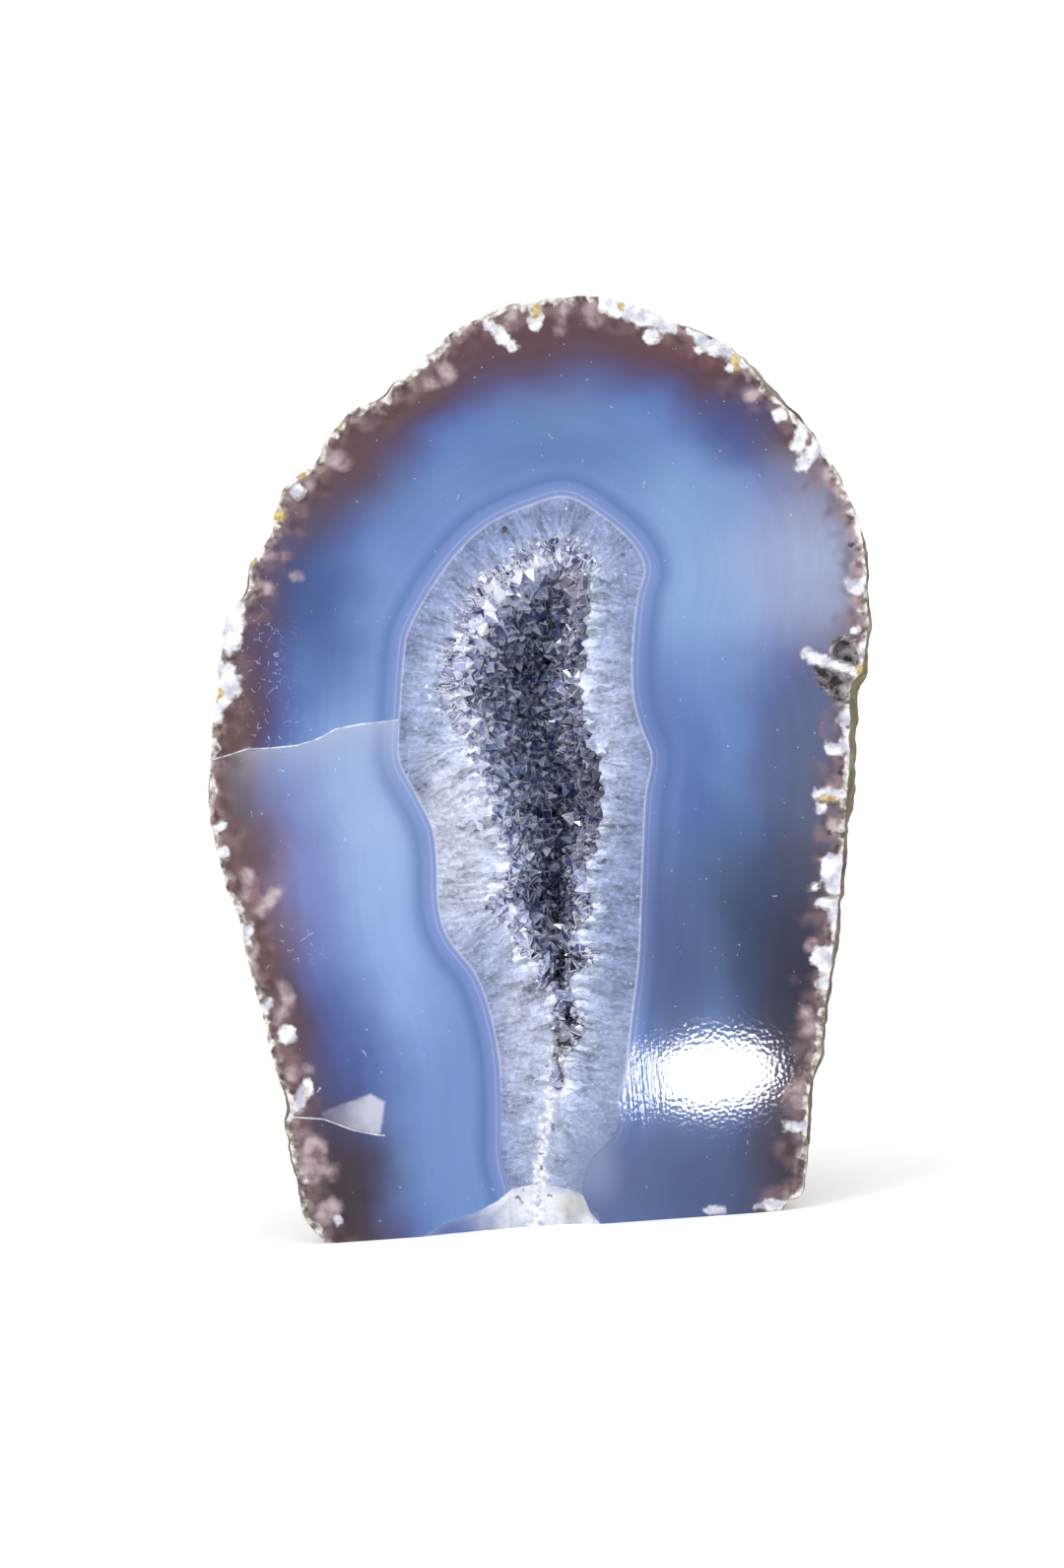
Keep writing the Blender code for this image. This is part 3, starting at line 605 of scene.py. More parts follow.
# Marks seen in the polished face, as (across, up, radius) or as a run (across, up, across, up, radius), in mm
rimMarks = {
    "crisp": [  # white grains that reach the cut
        (5.9, 117.1, 5.8, 114.4, 0.8), (0.1, 114.8, 2.6, 112.0, 0.75), (-8.8, 110.7, 0.9),
        (-19.9, 103.4, 0.6), (-26.0, 95.4, 0.9), (-34.7, 81.2, -35.8, 76.8, 1.25),
        (-36.6, 73.0, -36.2, 71.1, 1.4), (-36.3, 71.1, -38.3, 67.7, 0.75), (15.8, 115.5, 0.6),
        (15.0, 116.3, 22.0, 113.9, 1.3), (18.9, 114.7, 22.4, 113.5, 1.25), (26.2, 112.0, 31.6, 108.3, 1.2),
        (20.2, 112.0, 1.1), (23.0, 112.6, 0.6), (26.7, 111.2, 28.0, 109.8, 1.0),
        (26.4, 112.5, 26.2, 109.6, 0.4), (29.5, 109.1, 31.3, 108.9, 0.8), (30.2, 107.1, 0.6),
        (35.9, 100.8, 1.0), (39.1, 99.8, 37.8, 96.6, 0.8), (40.8, 96.8, 38.3, 94.3, 0.9),
        (41.7, 95.2, 42.6, 93.9, 0.5), (44.1, 87.7, 0.6), (44.9, 85.8, 45.4, 84.7, 0.6),
        (43.1, 78.8, 44.2, 78.1, 0.8), (45.0, 79.0, 0.6), (43.3, 73.0, 0.6), (37.0, 70.2, 43.4, 67.5, 0.75),
        (41.5, 62.1, 42.2, 60.3, 1.0), (42.4, 62.1, 41.6, 54.0, 0.75), (39.2, 58.0, 41.3, 58.1, 0.8),
        (37.1, 52.5, 40.4, 52.3, 0.6), (37.4, 50.5, 0.75), (38.4, 43.2, 38.7, 41.0, 1.6), (35.8, 40.5, 0.6),
        (36.3, 38.7, 38.1, 38.4, 0.6), (38.5, 37.5, 38.7, 34.8, 0.9), (36.3, 31.7, 36.9, 31.1, 1.4),
        (36.2, 28.4, 36.7, 28.4, 1.0), (30.2, 10.7, 32.6, 10.5, 0.6), (27.5, 0.9, 28.5, 0.9, 0.75),
        (25.7, 0.6, 26.6, 1.0, 0.4), (19.6, 0.8, 21.2, 0.7, 0.5), (-38.7, 53.8, 0.6), (-38.5, 50.4, 0.7),
        (-37.6, 42.5, 0.6), (-36.3, 40.1, 1.0), (-34.4, 30.7, 0.75), (-32.2, 26.9, 1.25),
        (-29.9, 20.1, -31.6, 17.4, 0.8), (-27.3, 2.8, 0.5),
    ],
    "soft": [  # the same grains deeper in the clear agate, blurred by it
        (-31.8, 83.9, 0.5), (-26.8, 84.6, 0.6), (44.6, 88.0, 45.2, 84.0, 1.4), (45.0, 80.5, 45.3, 75.0, 1.3),
        (42.0, 93.0, 44.0, 89.5, 1.2), (2.6, 116.2, 2.6, 115.0, 1.1), (-2.3, 115.0, 0.9), (-4.0, 114.0, 1.0),
        (-6.7, 111.3, -5.9, 108.8, 0.9), (-8.1, 108.0, 0.9), (-14.9, 105.2, 0.6), (-21.5, 101.9, 0.6),
        (-21.5, 99.4, -19.6, 98.8, 0.9), (-24.2, 96.3, 0.7), (-30.9, 87.9, -29.8, 89.8, 0.9),
        (-29.8, 87.7, 0.6), (-28.1, 87.3, 0.5), (-30.5, 83.3, 0.75), (9.5, 116.7, 9.0, 113.7, 0.5),
        (13.1, 116.8, 13.3, 114.5, 0.9), (24.7, 112.5, 0.9), (33.0, 103.7, 1.1),
        (43.0, 92.9, 43.6, 90.7, 0.8), (45.0, 82.5, 0.9), (44.5, 81.1, 1.0), (44.1, 76.7, 1.0),
        (41.3, 64.4, 0.75), (39.5, 52.8, 1.1), (39.2, 48.4, 1.0), (35.1, 33.3, 0.75), (33.8, 22.8, 1.1),
        (34.1, 19.3, 0.6), (33.6, 24.6, 0.9), (32.7, 7.1, 1.0), (-38.5, 47.1, 0.6),
        (-35.5, 47.3, -35.5, 44.7, 0.9), (-32.1, 44.9, -34.4, 42.8, 0.8), (-35.8, 38.3, -35.4, 33.7, 0.6),
        (-32.3, 33.1, -31.6, 30.9, 0.6), (-31.6, 30.9, -33.3, 28.5, 0.6), (-33.7, 23.4, 0.6),
        (-31.9, 21.8, 1.0), (-29.9, 22.1, 0.7), (-30.0, 12.1, -30.0, 9.6, 1.75), (-27.9, 9.0, 0.9),
        (-28.3, 4.4, -28.9, 4.0, 1.4), (-31.1, 14.1, 0.6), (32.0, 14.6, 1.6),
    ],
    "ochre": [  # grains stained by iron
        (5.9, 116.7, 5.9, 115.6, 0.46), (-19.9, 103.4, 0.38), (-25.3, 97.7, 0.62), (-28.5, 92.5, 0.7),
        (-32.2, 87.1, 0.5), (-37.6, 70.6, 0.56), (16.8, 115.9, 0.44), (30.7, 108.3, 30.8, 107.4, 0.5),
        (38.1, 101.3, 0.62), (44.2, 67.5, 1.0), (37.5, 52.0, 39.4, 51.6, 0.25), (-30.3, 19.2, 0.25),
    ],
    # The dark marks are black grains, and painted shade where small holes are
    "dark": [  # small holes and black grains
        (27.7, 111.3, 0.38), (39.1, 95.0, 0.2), (43.7, 83.7, 0.38), (41.7, 60.6, 0.3), (42.0, 56.1, 0.25),
        (40.3, 54.9, 0.38), (40.3, 52.3, 0.2), (38.3, 47.4, 0.4), (40.0, 47.0, 0.45),
        (40.6, 71.4, 41.6, 72.0, 0.3), (38.1, 68.4, 39.6, 67.2, 0.4), (40.2, 64.5, 42.0, 63.7, 0.3),
        (-3.1, 87.8, 0.3), (0.0, 88.7, 0.5), (-8.6, 66.0, 0.25), (-14.7, 59.1, 0.25), (-4.5, 4.1, 0.38),
        (-1.3, 7.7, 0.38), (0.6, 13.2, 0.3), (-1.0, 9.4, 0.32), (-3.6, 5.1, 0.32), (-0.4, 3.9, 0.34),
        (0.7, 12.4, 0.32), (-4.0, 3.3, 0.32), (-2.1, 5.7, 0.3),
    ],
    "seam": [  # white quartz where the two walls of the hollow meet
        (0.9, 17.5, -1.3, 8.3, 0.55), (-1.3, 8.3, -2.2, 0.0, 0.8), (1.2, 22.0, 0.9, 17.5, 0.3),
    ],
}
crackLine = [
    (-39.4, 62.2), (-36.6, 62.8), (-34.7, 63.3), (-31.6, 63.2), (-28.4, 63.3), (-25.6, 63.9), (-23.3, 65.0),
    (-20.1, 65.4), (-15.7, 65.6), (-12.0, 65.7),
]
flakeOutline = [(-28.6, 16.7), (-22.1, 18.6), (-20.3, 17.4), (-21.2, 13.2), (-24.6, 14.1), (-28.3, 15.8)]
flakeCrack = [(-32.0, 16.3), (-28.3, 15.8), (-24.6, 14.1), (-21.2, 13.2)]


def usedBy(mesh, slot):  # which points the faces of a slot use
    used = np.zeros(len(mesh.vertices), bool)
    for polygon in mesh.polygons:
        if polygon.material_index == slot:
            used[list(polygon.vertices)] = True
    return used


def markField(flat, marks):  # how far points are from the nearest mark's edge, less than 0 inside one
    nearest = np.full(len(flat), 9.0)
    for *ends, radius in marks:
        run = [ends[:2], ends[-2:]]
        nearest = np.minimum(nearest, distanceTo(flat, run) - radius)
    return nearest


def polygonField(flat, outline):  # how far points are from an outline, less than 0 inside it
    return distanceTo(flat, closed(np.asarray(outline))) * np.where(isInside(flat, outline), -1.0, 1.0)


def faceFields(mesh, faceSlots, rim, quartz):  # the distances that the materials draw by, in mm
    spot = onFace(meshPoints(mesh))
    face = np.any([usedBy(mesh, slot) for slot in faceSlots], axis=0)
    flat = spot[face][:, :2]
    fields = {
        "fromRim": distanceTo(flat, closed(rim[::2])), "fromQuartz": distanceTo(flat, closed(quartz[::2])),
        "fromChip": polygonField(flat, chipOutline), "fromPit": polygonField(flat, pitOutline),
        "fromFlake": polygonField(flat, flakeOutline),
        "fromCrack": np.minimum(distanceTo(flat, crackLine), distanceTo(flat, flakeCrack)),
    }
    over = [flat[:, 1] - np.interp(flat[:, 0], *np.array(run).T) for run in (crackLine, flakeCrack)]
    fields["overCrack"] = np.where(flat[:, 1] > 40.0, *over)
    below = np.maximum(-over[0], 0.0)
    for name, marks in rimMarks.items():
        fields[name] = markField(flat, marks)
    ends = smoothStep(-40.0, -33.0, flat[:, 0]) * (1 - smoothStep(-15.0, -9.0, flat[:, 0]))
    fields["haze"] = np.where(below > 0, np.exp(-below / agate["hazeReach"]), 0.0) * ends
    for name, values in fields.items():
        whole = np.full(len(spot), 0.0 if name in ("fromRim", "haze") else 9.0)
        whole[face] = values
        fields[name] = whole
    return spot, face, fields


def setFields(mesh, spot, fields):
    for name, values in fields.items():
        setField(mesh, name, values)
    setField(mesh, "facePoint", spot)


def setStoneFields(mesh):
    spot, face, fields = faceFields(mesh, [faceSlot], faceEdge, hollowLoop)
    base = usedBy(mesh, sawnSlot)
    inner = base & ~face
    for name, slot in (("fromRim", skinSlot), ("fromQuartz", hollowSlot)):
        edge = spot[base & usedBy(mesh, slot)][:, [0, 2]]
        apart = np.linalg.norm(spot[inner][:, None, [0, 2]] - edge[None], axis=2)
        fields[name][inner] = apart.min(1)
    setFields(mesh, spot, fields)


def setCrustFields(mesh):
    spot, face, fields = faceFields(mesh, [faceSlot, bedSlot], rimLoop, crustOutline)
    apart = np.linalg.norm(spot[:, None, :2] - crustOutline[None], axis=2)
    fields["along"] = apart.argmin(1) * runLength(quartzOutline, 0, len(quartzOutline)) / len(crustOutline)
    fields["white"] = np.zeros(len(spot))
    fields["white"][face] = whiteAndLitShare(spot[face][:, :2])
    setFields(mesh, spot, fields)


def linear(code):  # an sRGB hex colour as the linear one that nodes take
    parts = [int(code[i:i + 2], 16) / 255 for i in (1, 3, 5)]
    return (*[part / 12.92 if part <= 0.04045 else ((part + 0.055) / 1.055) ** 2.4 for part in parts], 1.0)


# Adds a node, sets it up and links its inputs; a span holds a range's limits, and hex colours turn linear
def addNode(tree, kind, inputs={}, output=0, stops=None, span=(), **settings):
    made = tree.nodes.new("ShaderNode" + kind)
    for name, value in settings.items():
        setattr(made, name, value)
    for i, (place, colour) in enumerate((stops or {}).items()):
        elements = made.color_ramp.elements
        element = elements[i] if i < 2 else elements.new(place)
        element.position = place
        element.color = linear(colour)
    for name, value in [*inputs.items(), *zip(("From Min", "From Max", "To Min", "To Max"), span)]:
        if isinstance(value, bpy.types.NodeSocket):
            tree.links.new(value, made.inputs[name])
        else:
            made.inputs[name].default_value = linear(value) if isinstance(value, str) else value
    return made.outputs[output] if made.outputs else made


def newTree(name):
    material = bpy.data.materials.new(name)
    material.use_nodes = True
    material.node_tree.nodes.clear()
    return material, material.node_tree


def startSurface(name):  # a new material and the point, in the face's frame, that its patterns are drawn by
    material, tree = newTree(name)
    return material, tree, addNode(tree, "Attribute", output="Vector", attribute_name="facePoint")


def finishSurface(tree, inputs):
    surface = addNode(tree, "BsdfPrincipled", inputs)
    addNode(tree, "OutputMaterial", {"Surface": surface})


def swingNoise(tree, point, size, detail, span, roughness=0.5):  # noise with lumps of this size, in a range
    lumps = {"Vector": point, "Scale": 1 / size, "Detail": detail, "Roughness": roughness}
    return addNode(tree, "MapRange", {"Value": addNode(tree, "TexNoise", lumps)}, span=span)


def wayAcross(tree):  # the distance from where agate meets quartz, and how much of the way across that is
    fromRim = addNode(tree, "Attribute", output="Fac", attribute_name="fromRim")
    fromQuartz = addNode(tree, "Attribute", output="Fac", attribute_name="fromQuartz")
    whole = addNode(tree, "Math", {0: fromRim, 1: fromQuartz}, operation="ADD")
    return fromQuartz, addNode(tree, "Math", {0: fromQuartz, 1: whole}, operation="DIVIDE")


def paintLayers(tree, below, point, layers):  # lays each colour where its own field is small
    for layer in layers:
        distance = addNode(tree, "Attribute", output="Fac", attribute_name=layer["field"])
        if "line" in layer:
            over = addNode(tree, "Attribute", output="Fac", attribute_name=layer["line"])
            over = addNode(tree, "Math", {0: over}, operation="ABSOLUTE")
            distance = addNode(tree, "Math", {0: distance, 1: 0.5}, operation="SUBTRACT")
            distance = addNode(tree, "Math", {0: over, 1: distance}, operation="MAXIMUM")
        swing = (0.25, 0.75, -layer["ragged"], layer["ragged"])
        shift = swingNoise(tree, point, layer["grain"], layer.get("detail", 3.0), swing)
        distance = addNode(tree, "Math", {0: distance, 1: shift}, operation="ADD")
        near, far = layer["edge"]
        mask = addNode(tree, "MapRange", {"Value": distance},
                       span=(near, far, layer.get("strength", 1.0), 0.0), interpolation_type="SMOOTHSTEP")
        if "across" in layer:
            west, east = layer["across"]
            side = addNode(tree, "SeparateXYZ", {"Vector": point}, output="X")
            side = addNode(tree, "MapRange", {"Value": side}, span=(west, east, 0.15))
            mask = addNode(tree, "Math", {0: mask, 1: side}, operation="MULTIPLY")
        mottle = addNode(tree, "TexNoise", {"Vector": point, "Scale": 1 / layer.get("mottle", 1.0),
                                            "Detail": layer.get("detail", 4.0)})
        dark, light = layer["colours"]
        paint = addNode(tree, "ValToRGB", {"Fac": mottle}, stops={0.36: dark, 0.6: light})
        below = addNode(tree, "MixRGB", {"Fac": mask, "Color1": below, "Color2": paint})
    return below


def paintPatches(tree, below, point, patches, thick=0.0):  # lays broad soft clouds of colour over the face
    inward = 1 / thick if thick else 0.0
    for across, up, wide, tall, colour, strength in patches:
        offset = addNode(tree, "VectorMath", {0: point, 1: (across, up, 0.0)}, operation="SUBTRACT")
        scaled = addNode(tree, "VectorMath", {0: offset, 1: (1 / wide, 1 / tall, inward)},
                         operation="MULTIPLY")
        reach = addNode(tree, "VectorMath", {0: scaled}, output="Value", operation="LENGTH")
        mask = addNode(tree, "MapRange", {"Value": reach}, span=(0.0, 1.0, strength, 0.0),
                       interpolation_type="SMOOTHSTEP")
        below = addNode(tree, "MixRGB", {"Fac": mask, "Color1": below, "Color2": colour})
    return below


# Agate sliced on a diamond saw, ground and polished: clear depth, colour in soft bands, a hard gloss
agate = {
    "gloss": 0.03, "warp": 1.4, "edgeBand": 5.0, "hazeStrength": 0.5, "hazeReach": 5.0,
    "bands": {0.0: "#7089bd", 0.12: "#7895c9", 0.35: "#7594c8", 0.5: "#6a86bf", 0.6: "#5d70aa",
              0.69: "#595b8a", 0.77: "#5c4e65", 0.88: "#6a5353", 1.0: "#5d4a45"},
    "innerBands": {0.0: "#9aa7d2", 0.04: "#7b8fc3", 0.08: "#7f92c5", 0.11: "#9dacd7", 0.14: "#7d90c4",
                   0.32: "#6f87bb", 0.42: "#5c75aa", 0.58: "#647db2", 0.8: "#7891c7"},
    "sawnBands": {0.0: "#aab4cf", 0.3: "#97a6c9", 0.6: "#8790ae", 0.75: "#84798c", 0.9: "#87766f",
                  1.0: "#8d7b6a"},
    "patches": [  # across, up, width, height, colour, strength
        (-19.0, 50.0, 12.0, 26.0, "#9eb8e4", 0.95), (-18.0, 34.0, 11.0, 20.0, "#92aee2", 0.9),
        (-28.0, 46.0, 8.0, 20.0, "#7f8cc6", 0.75), (-24.5, 81.0, 11.0, 18.0, "#485e90", 0.85),
        (-33.0, 80.0, 7.0, 18.0, "#5c506a", 0.65), (6.0, 98.0, 26.0, 10.0, "#5f7cae", 0.85),
        (-13.0, 90.0, 14.0, 10.0, "#607cb2", 0.5), (-22.0, 99.0, 16.0, 14.0, "#614e54", 0.9),
        (7.0, 116.0, 36.0, 16.5, "#634b50", 0.95), (27.0, 94.0, 12.0, 10.0, "#7694c4", 0.6),
        (22.5, 80.0, 9.0, 24.0, "#8dadda", 0.8), (30.0, 80.0, 7.0, 18.0, "#93b0dc", 0.7),
        (38.5, 82.0, 16.5, 19.0, "#a3aed0", 0.95), (34.0, 104.0, 14.0, 11.0, "#54434f", 0.95),
        (36.0, 62.0, 16.0, 16.0, "#5f719c", 0.8), (22.0, 56.0, 9.0, 24.0, "#5a72b0", 0.9),
        (27.0, 58.0, 4.0, 18.0, "#6c8cc2", 0.6), (36.0, 50.0, 12.0, 20.0, "#606a85", 0.85),
        (27.0, 36.0, 16.0, 26.0, "#475672", 1.0), (18.0, 32.0, 8.0, 18.0, "#52638c", 0.9),
        (34.0, 26.0, 13.0, 28.0, "#3a3b4c", 0.95), (19.0, 5.0, 26.0, 20.0, "#566389", 1.0),
        (32.0, 6.0, 12.0, 13.0, "#433d48", 0.9), (-18.0, 14.0, 9.0, 22.0, "#7790c6", 0.7),
        (-24.0, 22.0, 9.0, 22.0, "#50619b", 0.8), (-27.0, 7.0, 13.0, 19.0, "#4a4149", 1.0),
        (-32.0, 46.0, 5.0, 14.0, "#8f6f78", 0.4), (-33.0, 28.0, 5.0, 12.0, "#5a4550", 0.6),
        (27.0, 109.5, 12.0, 5.0, "#6e4648", 0.5), (-22.0, 101.5, 12.0, 6.0, "#6e4e4c", 0.45),
        (29.5, 99.0, 9.0, 7.0, "#4c5c98", 0.65), (-30.0, 89.0, 7.0, 9.0, "#4d5488", 0.4),
    ],
    "lowerRight": [(16.5, 34.0, 6.0, 28.0, "#525f88", 0.8), (17.5, 64.0, 5.0, 16.0, "#5c70a4", 0.6),
                   (8.5, 6.0, 9.0, 11.0, "#5f6b94", 1.0), (5.5, 2.0, 5.0, 7.5, "#636f99", 1.0),
                   (5.5, 7.5, 5.0, 7.5, "#8490b3", 1.0)],
    "onChip": [(-13.0, 0.5, 10.0, 5.5, "#6076ad", 1.0), (-3.0, 3.0, 6.0, 4.0, "#f2f4fa", 0.8),
               (3.0, 2.5, 4.0, 3.5, "#b7b6a6", 0.7)],
    "layers": [
        {"field": "fromRim", "edge": (1.0, 4.4), "ragged": 2.0, "grain": 3.0, "mottle": 2.2, "detail": 1.0,
         "colours": ("#5a4448", "#8f777b"), "strength": 0.6},
        {"field": "soft", "edge": (-0.7, 0.65), "ragged": 0.5, "grain": 1.8, "mottle": 2.0,
         "colours": ("#8f7479", "#cbb9bd"), "strength": 0.8},
        {"field": "fromRim", "edge": (0.3, 1.8), "ragged": 0.9, "grain": 1.9, "mottle": 1.2, "detail": 1.0,
         "colours": ("#54433f", "#a59492"), "strength": 0.75},
        {"field": "fromPit", "edge": (-0.2, 0.05), "ragged": 0.15, "grain": 0.8, "mottle": 1.5,
         "colours": ("#4a4147", "#c9c3c8")},
        {"field": "fromRim", "edge": (0.15, 0.8), "ragged": 0.9, "grain": 1.8, "mottle": 1.3, "detail": 2.0,
         "colours": ("#7b7068", "#f6f2ec"), "strength": 0.95},
        {"field": "crisp", "edge": (-0.35, 0.3), "ragged": 0.5, "grain": 1.4, "mottle": 2.0,
         "colours": ("#bfc0d0", "#ffffff")},
        {"field": "ochre", "edge": (-0.2, 0.35), "ragged": 0.25, "grain": 0.5,
         "colours": ("#a58a4c", "#e3cd84"), "strength": 0.9},
        {"field": "fromFlake", "edge": (-0.35, 0.22), "ragged": 0.1, "grain": 0.8, "mottle": 5.0,
         "colours": ("#9a99ad", "#c9cbdb"), "strength": 0.92, "across": (-29.5, -22.5)},
        {"field": "fromCrack", "line": "overCrack", "edge": (0.02, 0.14), "ragged": 0.05, "grain": 1.2,
         "colours": ("#b4bad4", "#f6f7fc"), "strength": 0.85},
    ],
    "grains": [
        {"field": "seam", "edge": (-0.5, 0.5), "ragged": 0.9, "grain": 1.2, "mottle": 0.7,
         "colours": ("#b4bdd6", "#ffffff"), "strength": 0.95},
        {"field": "dark", "edge": (-0.15, 0.1), "ragged": 0.15, "grain": 0.4,
         "colours": ("#2b262e", "#5a5058"), "strength": 0.9},
    ],
    "broken": [
        {"field": "fromChip", "edge": (-0.12, 0.05), "ragged": 0.05, "grain": 0.5, "mottle": 2.5,
         "colours": ("#a9b2ca", "#e8ebf3")},
    ],
    "scuffed": [(11.0, 17.5, 6.0, 10.0, "#ffffff", 1.0)],
    "scratched": [(-33.0, 74.0, 8.0, 13.0, "#ffffff", 1.0), (-29.0, 38.0, 5.0, 4.0, "#ffffff", 1.0),
                  (-31.0, 65.0, 6.0, 4.0, "#ffffff", 1.0)],
}


def paintBroken(tree, below, point):  # the chip at the base and the dark grains, on agate and quartz alike
    chip = addNode(tree, "Attribute", output="Fac", attribute_name="fromChip")
    inChip = addNode(tree, "Math", {0: chip, 1: 0.0}, operation="LESS_THAN")
    broken = paintLayers(tree, below, point, agate["broken"])
    tinted = paintPatches(tree, broken, point, agate["onChip"])
    below = addNode(tree, "MixRGB", {"Fac": inChip, "Color1": broken, "Color2": tinted})
    return paintLayers(tree, below, point, agate["grains"])


def polishedAgate():
    material, tree, point = startSurface("polishedAgate")
    cloud = addNode(tree, "TexNoise", {"Vector": point, "Scale": 1 / 9.0, "Detail": 2.0}, output="Color")
    drift = addNode(tree, "MapRange", {"Vector": cloud, 7: (0.3, 0.3, 0.3), 8: (0.7, 0.7, 0.7),
                                       9: (-agate["warp"],) * 3, 10: (agate["warp"],) * 3}, output="Vector",
                    data_type="FLOAT_VECTOR")
    warped = addNode(tree, "VectorMath", {0: point, 1: drift}, operation="ADD")
    fromQuartz, share = wayAcross(tree)
    wander = swingNoise(tree, point, 8.0, 4.0, (0.3, 0.7, -0.05, 0.05), 0.4)
    share = addNode(tree, "Math", {0: share, 1: wander}, operation="ADD")
    colour = addNode(tree, "ValToRGB", {"Fac": share}, stops=agate["bands"])
    colour = paintPatches(tree, colour, warped, agate["patches"])
    banding = addNode(tree, "TexNoise", {"W": fromQuartz, "Scale": 0.8, "Detail": 2.0}, noise_dimensions="1D")
    value = addNode(tree, "MapRange", {"Value": banding}, span=(0.3, 0.7, 0.92, 0.96))
    colour = addNode(tree, "HueSaturation", {"Color": colour, "Value": value})
    place = addNode(tree, "Math", {0: fromQuartz, 1: 0.2}, operation="MULTIPLY")
    edgeBand = addNode(tree, "ValToRGB", {"Fac": place}, stops=agate["innerBands"])
    mask = addNode(tree, "MapRange", {"Value": fromQuartz}, span=(1.6, agate["edgeBand"], 0.78, 0.0),
                   interpolation_type="SMOOTHSTEP")
    colour = addNode(tree, "MixRGB", {"Fac": mask, "Color1": colour, "Color2": edgeBand})
    colour = paintPatches(tree, colour, point, agate["lowerRight"])
    haze = addNode(tree, "Attribute", output="Fac", attribute_name="haze")
    mask = addNode(tree, "Math", {0: haze, 1: agate["hazeStrength"]}, operation="MULTIPLY")
    colour = addNode(tree, "MixRGB", {"Fac": mask, "Color1": colour, "Color2": "#bcc5d9"})
    # Short curved scratches, a tenth of a millimetre wide
    bent = addNode(tree, "TexNoise", {"Vector": point, "Scale": 1 / 1.8, "Detail": 1.0}, output="Color")
    bent = addNode(tree, "VectorMath", {0: bent, 3: 2.6}, operation="SCALE")
    bent = addNode(tree, "VectorMath", {0: bent, 1: point}, operation="ADD")
    lines = addNode(tree, "TexVoronoi", {"Vector": bent, "Scale": 1 / 1.5}, feature="DISTANCE_TO_EDGE",
                    voronoi_dimensions="2D")
    lines = addNode(tree, "MapRange", {"Value": lines}, span=(0.01, 0.04, 0.75, 0.0))
    broken = swingNoise(tree, point, 0.9, 1.0, (0.52, 0.6))
    scratch = addNode(tree, "Math", {0: lines, 1: broken}, operation="MULTIPLY")
    region = paintPatches(tree, "#000000", point, agate["scratched"])
    scratch = addNode(tree, "Math", {0: scratch, 1: region}, operation="MULTIPLY")
    colour = addNode(tree, "MixRGB", {"Fac": scratch, "Color1": colour, "Color2": "#ccd2ea"})
    # Dust and pinholes, a few to the square centimetre
    dots = addNode(tree, "TexVoronoi", {"Vector": bent, "Scale": 1 / 2.2}, voronoi_dimensions="2D")
    dots = addNode(tree, "MapRange", {"Value": dots}, span=(0.02, 0.05, 0.6, 0.0))
    sparse = swingNoise(tree, point, 3.5, 2.0, (0.54, 0.62))
    dots = addNode(tree, "Math", {0: dots, 1: sparse}, operation="MULTIPLY")
    colour = addNode(tree, "MixRGB", {"Fac": dots, "Color1": colour, "Color2": "#dfe5f4"})
    colour = paintLayers(tree, colour, point, agate["layers"])
    colour = paintBroken(tree, colour, point)
    # Fine scratches up and down from the last polishing, where they are close enough to break the gloss
    stretched = addNode(tree, "VectorMath", {0: point, 1: (2.4, 0.2, 1.0)}, operation="MULTIPLY")
    furrows = addNode(tree, "TexNoise", {"Vector": stretched, "Scale": 1.0, "Detail": 3.0})
    scuffed = paintPatches(tree, "#000000", point, agate["scuffed"])
    relief = addNode(tree, "Bump", {"Height": furrows, "Strength": scuffed, "Distance": 0.000014})
    # The grain of the polish, that breaks up the edges of whatever mirrors in it
    polish = addNode(tree, "TexNoise", {"Vector": point, "Scale": 1 / 0.5, "Detail": 0.0})
    relief = addNode(tree, "Bump", {"Height": polish, "Strength": 1.0, "Distance": 0.0000014,
                                    "Normal": relief})
    finishSurface(tree, {"Base Color": colour, "Roughness": agate["gloss"], "IOR": 1.54, "Normal": relief})
    return material


# The weathered outside of the nodule: matt rock, stained by clay and iron, with painted shade in its pits
rind = {
    "edgeThick": 15.0,  # mm behind the face where the pale and mossy edge fades out
    "stone": {0.34: "#584d44", 0.46: "#786a5e", 0.55: "#908275", 0.68: "#a99e90"},
    "stains": [(15.0, 1.0, 0.5, 0.75, "#77745a", 0.45), (9.0, 5.0, 0.53, 0.7, "#cfc7ba", 0.6),
               (5.0, 9.0, 0.53, 0.72, "#9c7443", 0.5)],
    "edge": [(43.0, 62.0, 4.0, 26.0, "#8b8456", 0.6), (-39.0, 50.0, 6.0, 45.0, "#c9c2b4", 0.6),
             # The last patch lightens the skin at the top right, partly for its pale crust and partly as
             # painted light where it lies in shade
             (28.0, 110.0, 16.0, 14.0, "#d8d3c8", 0.75)],
}


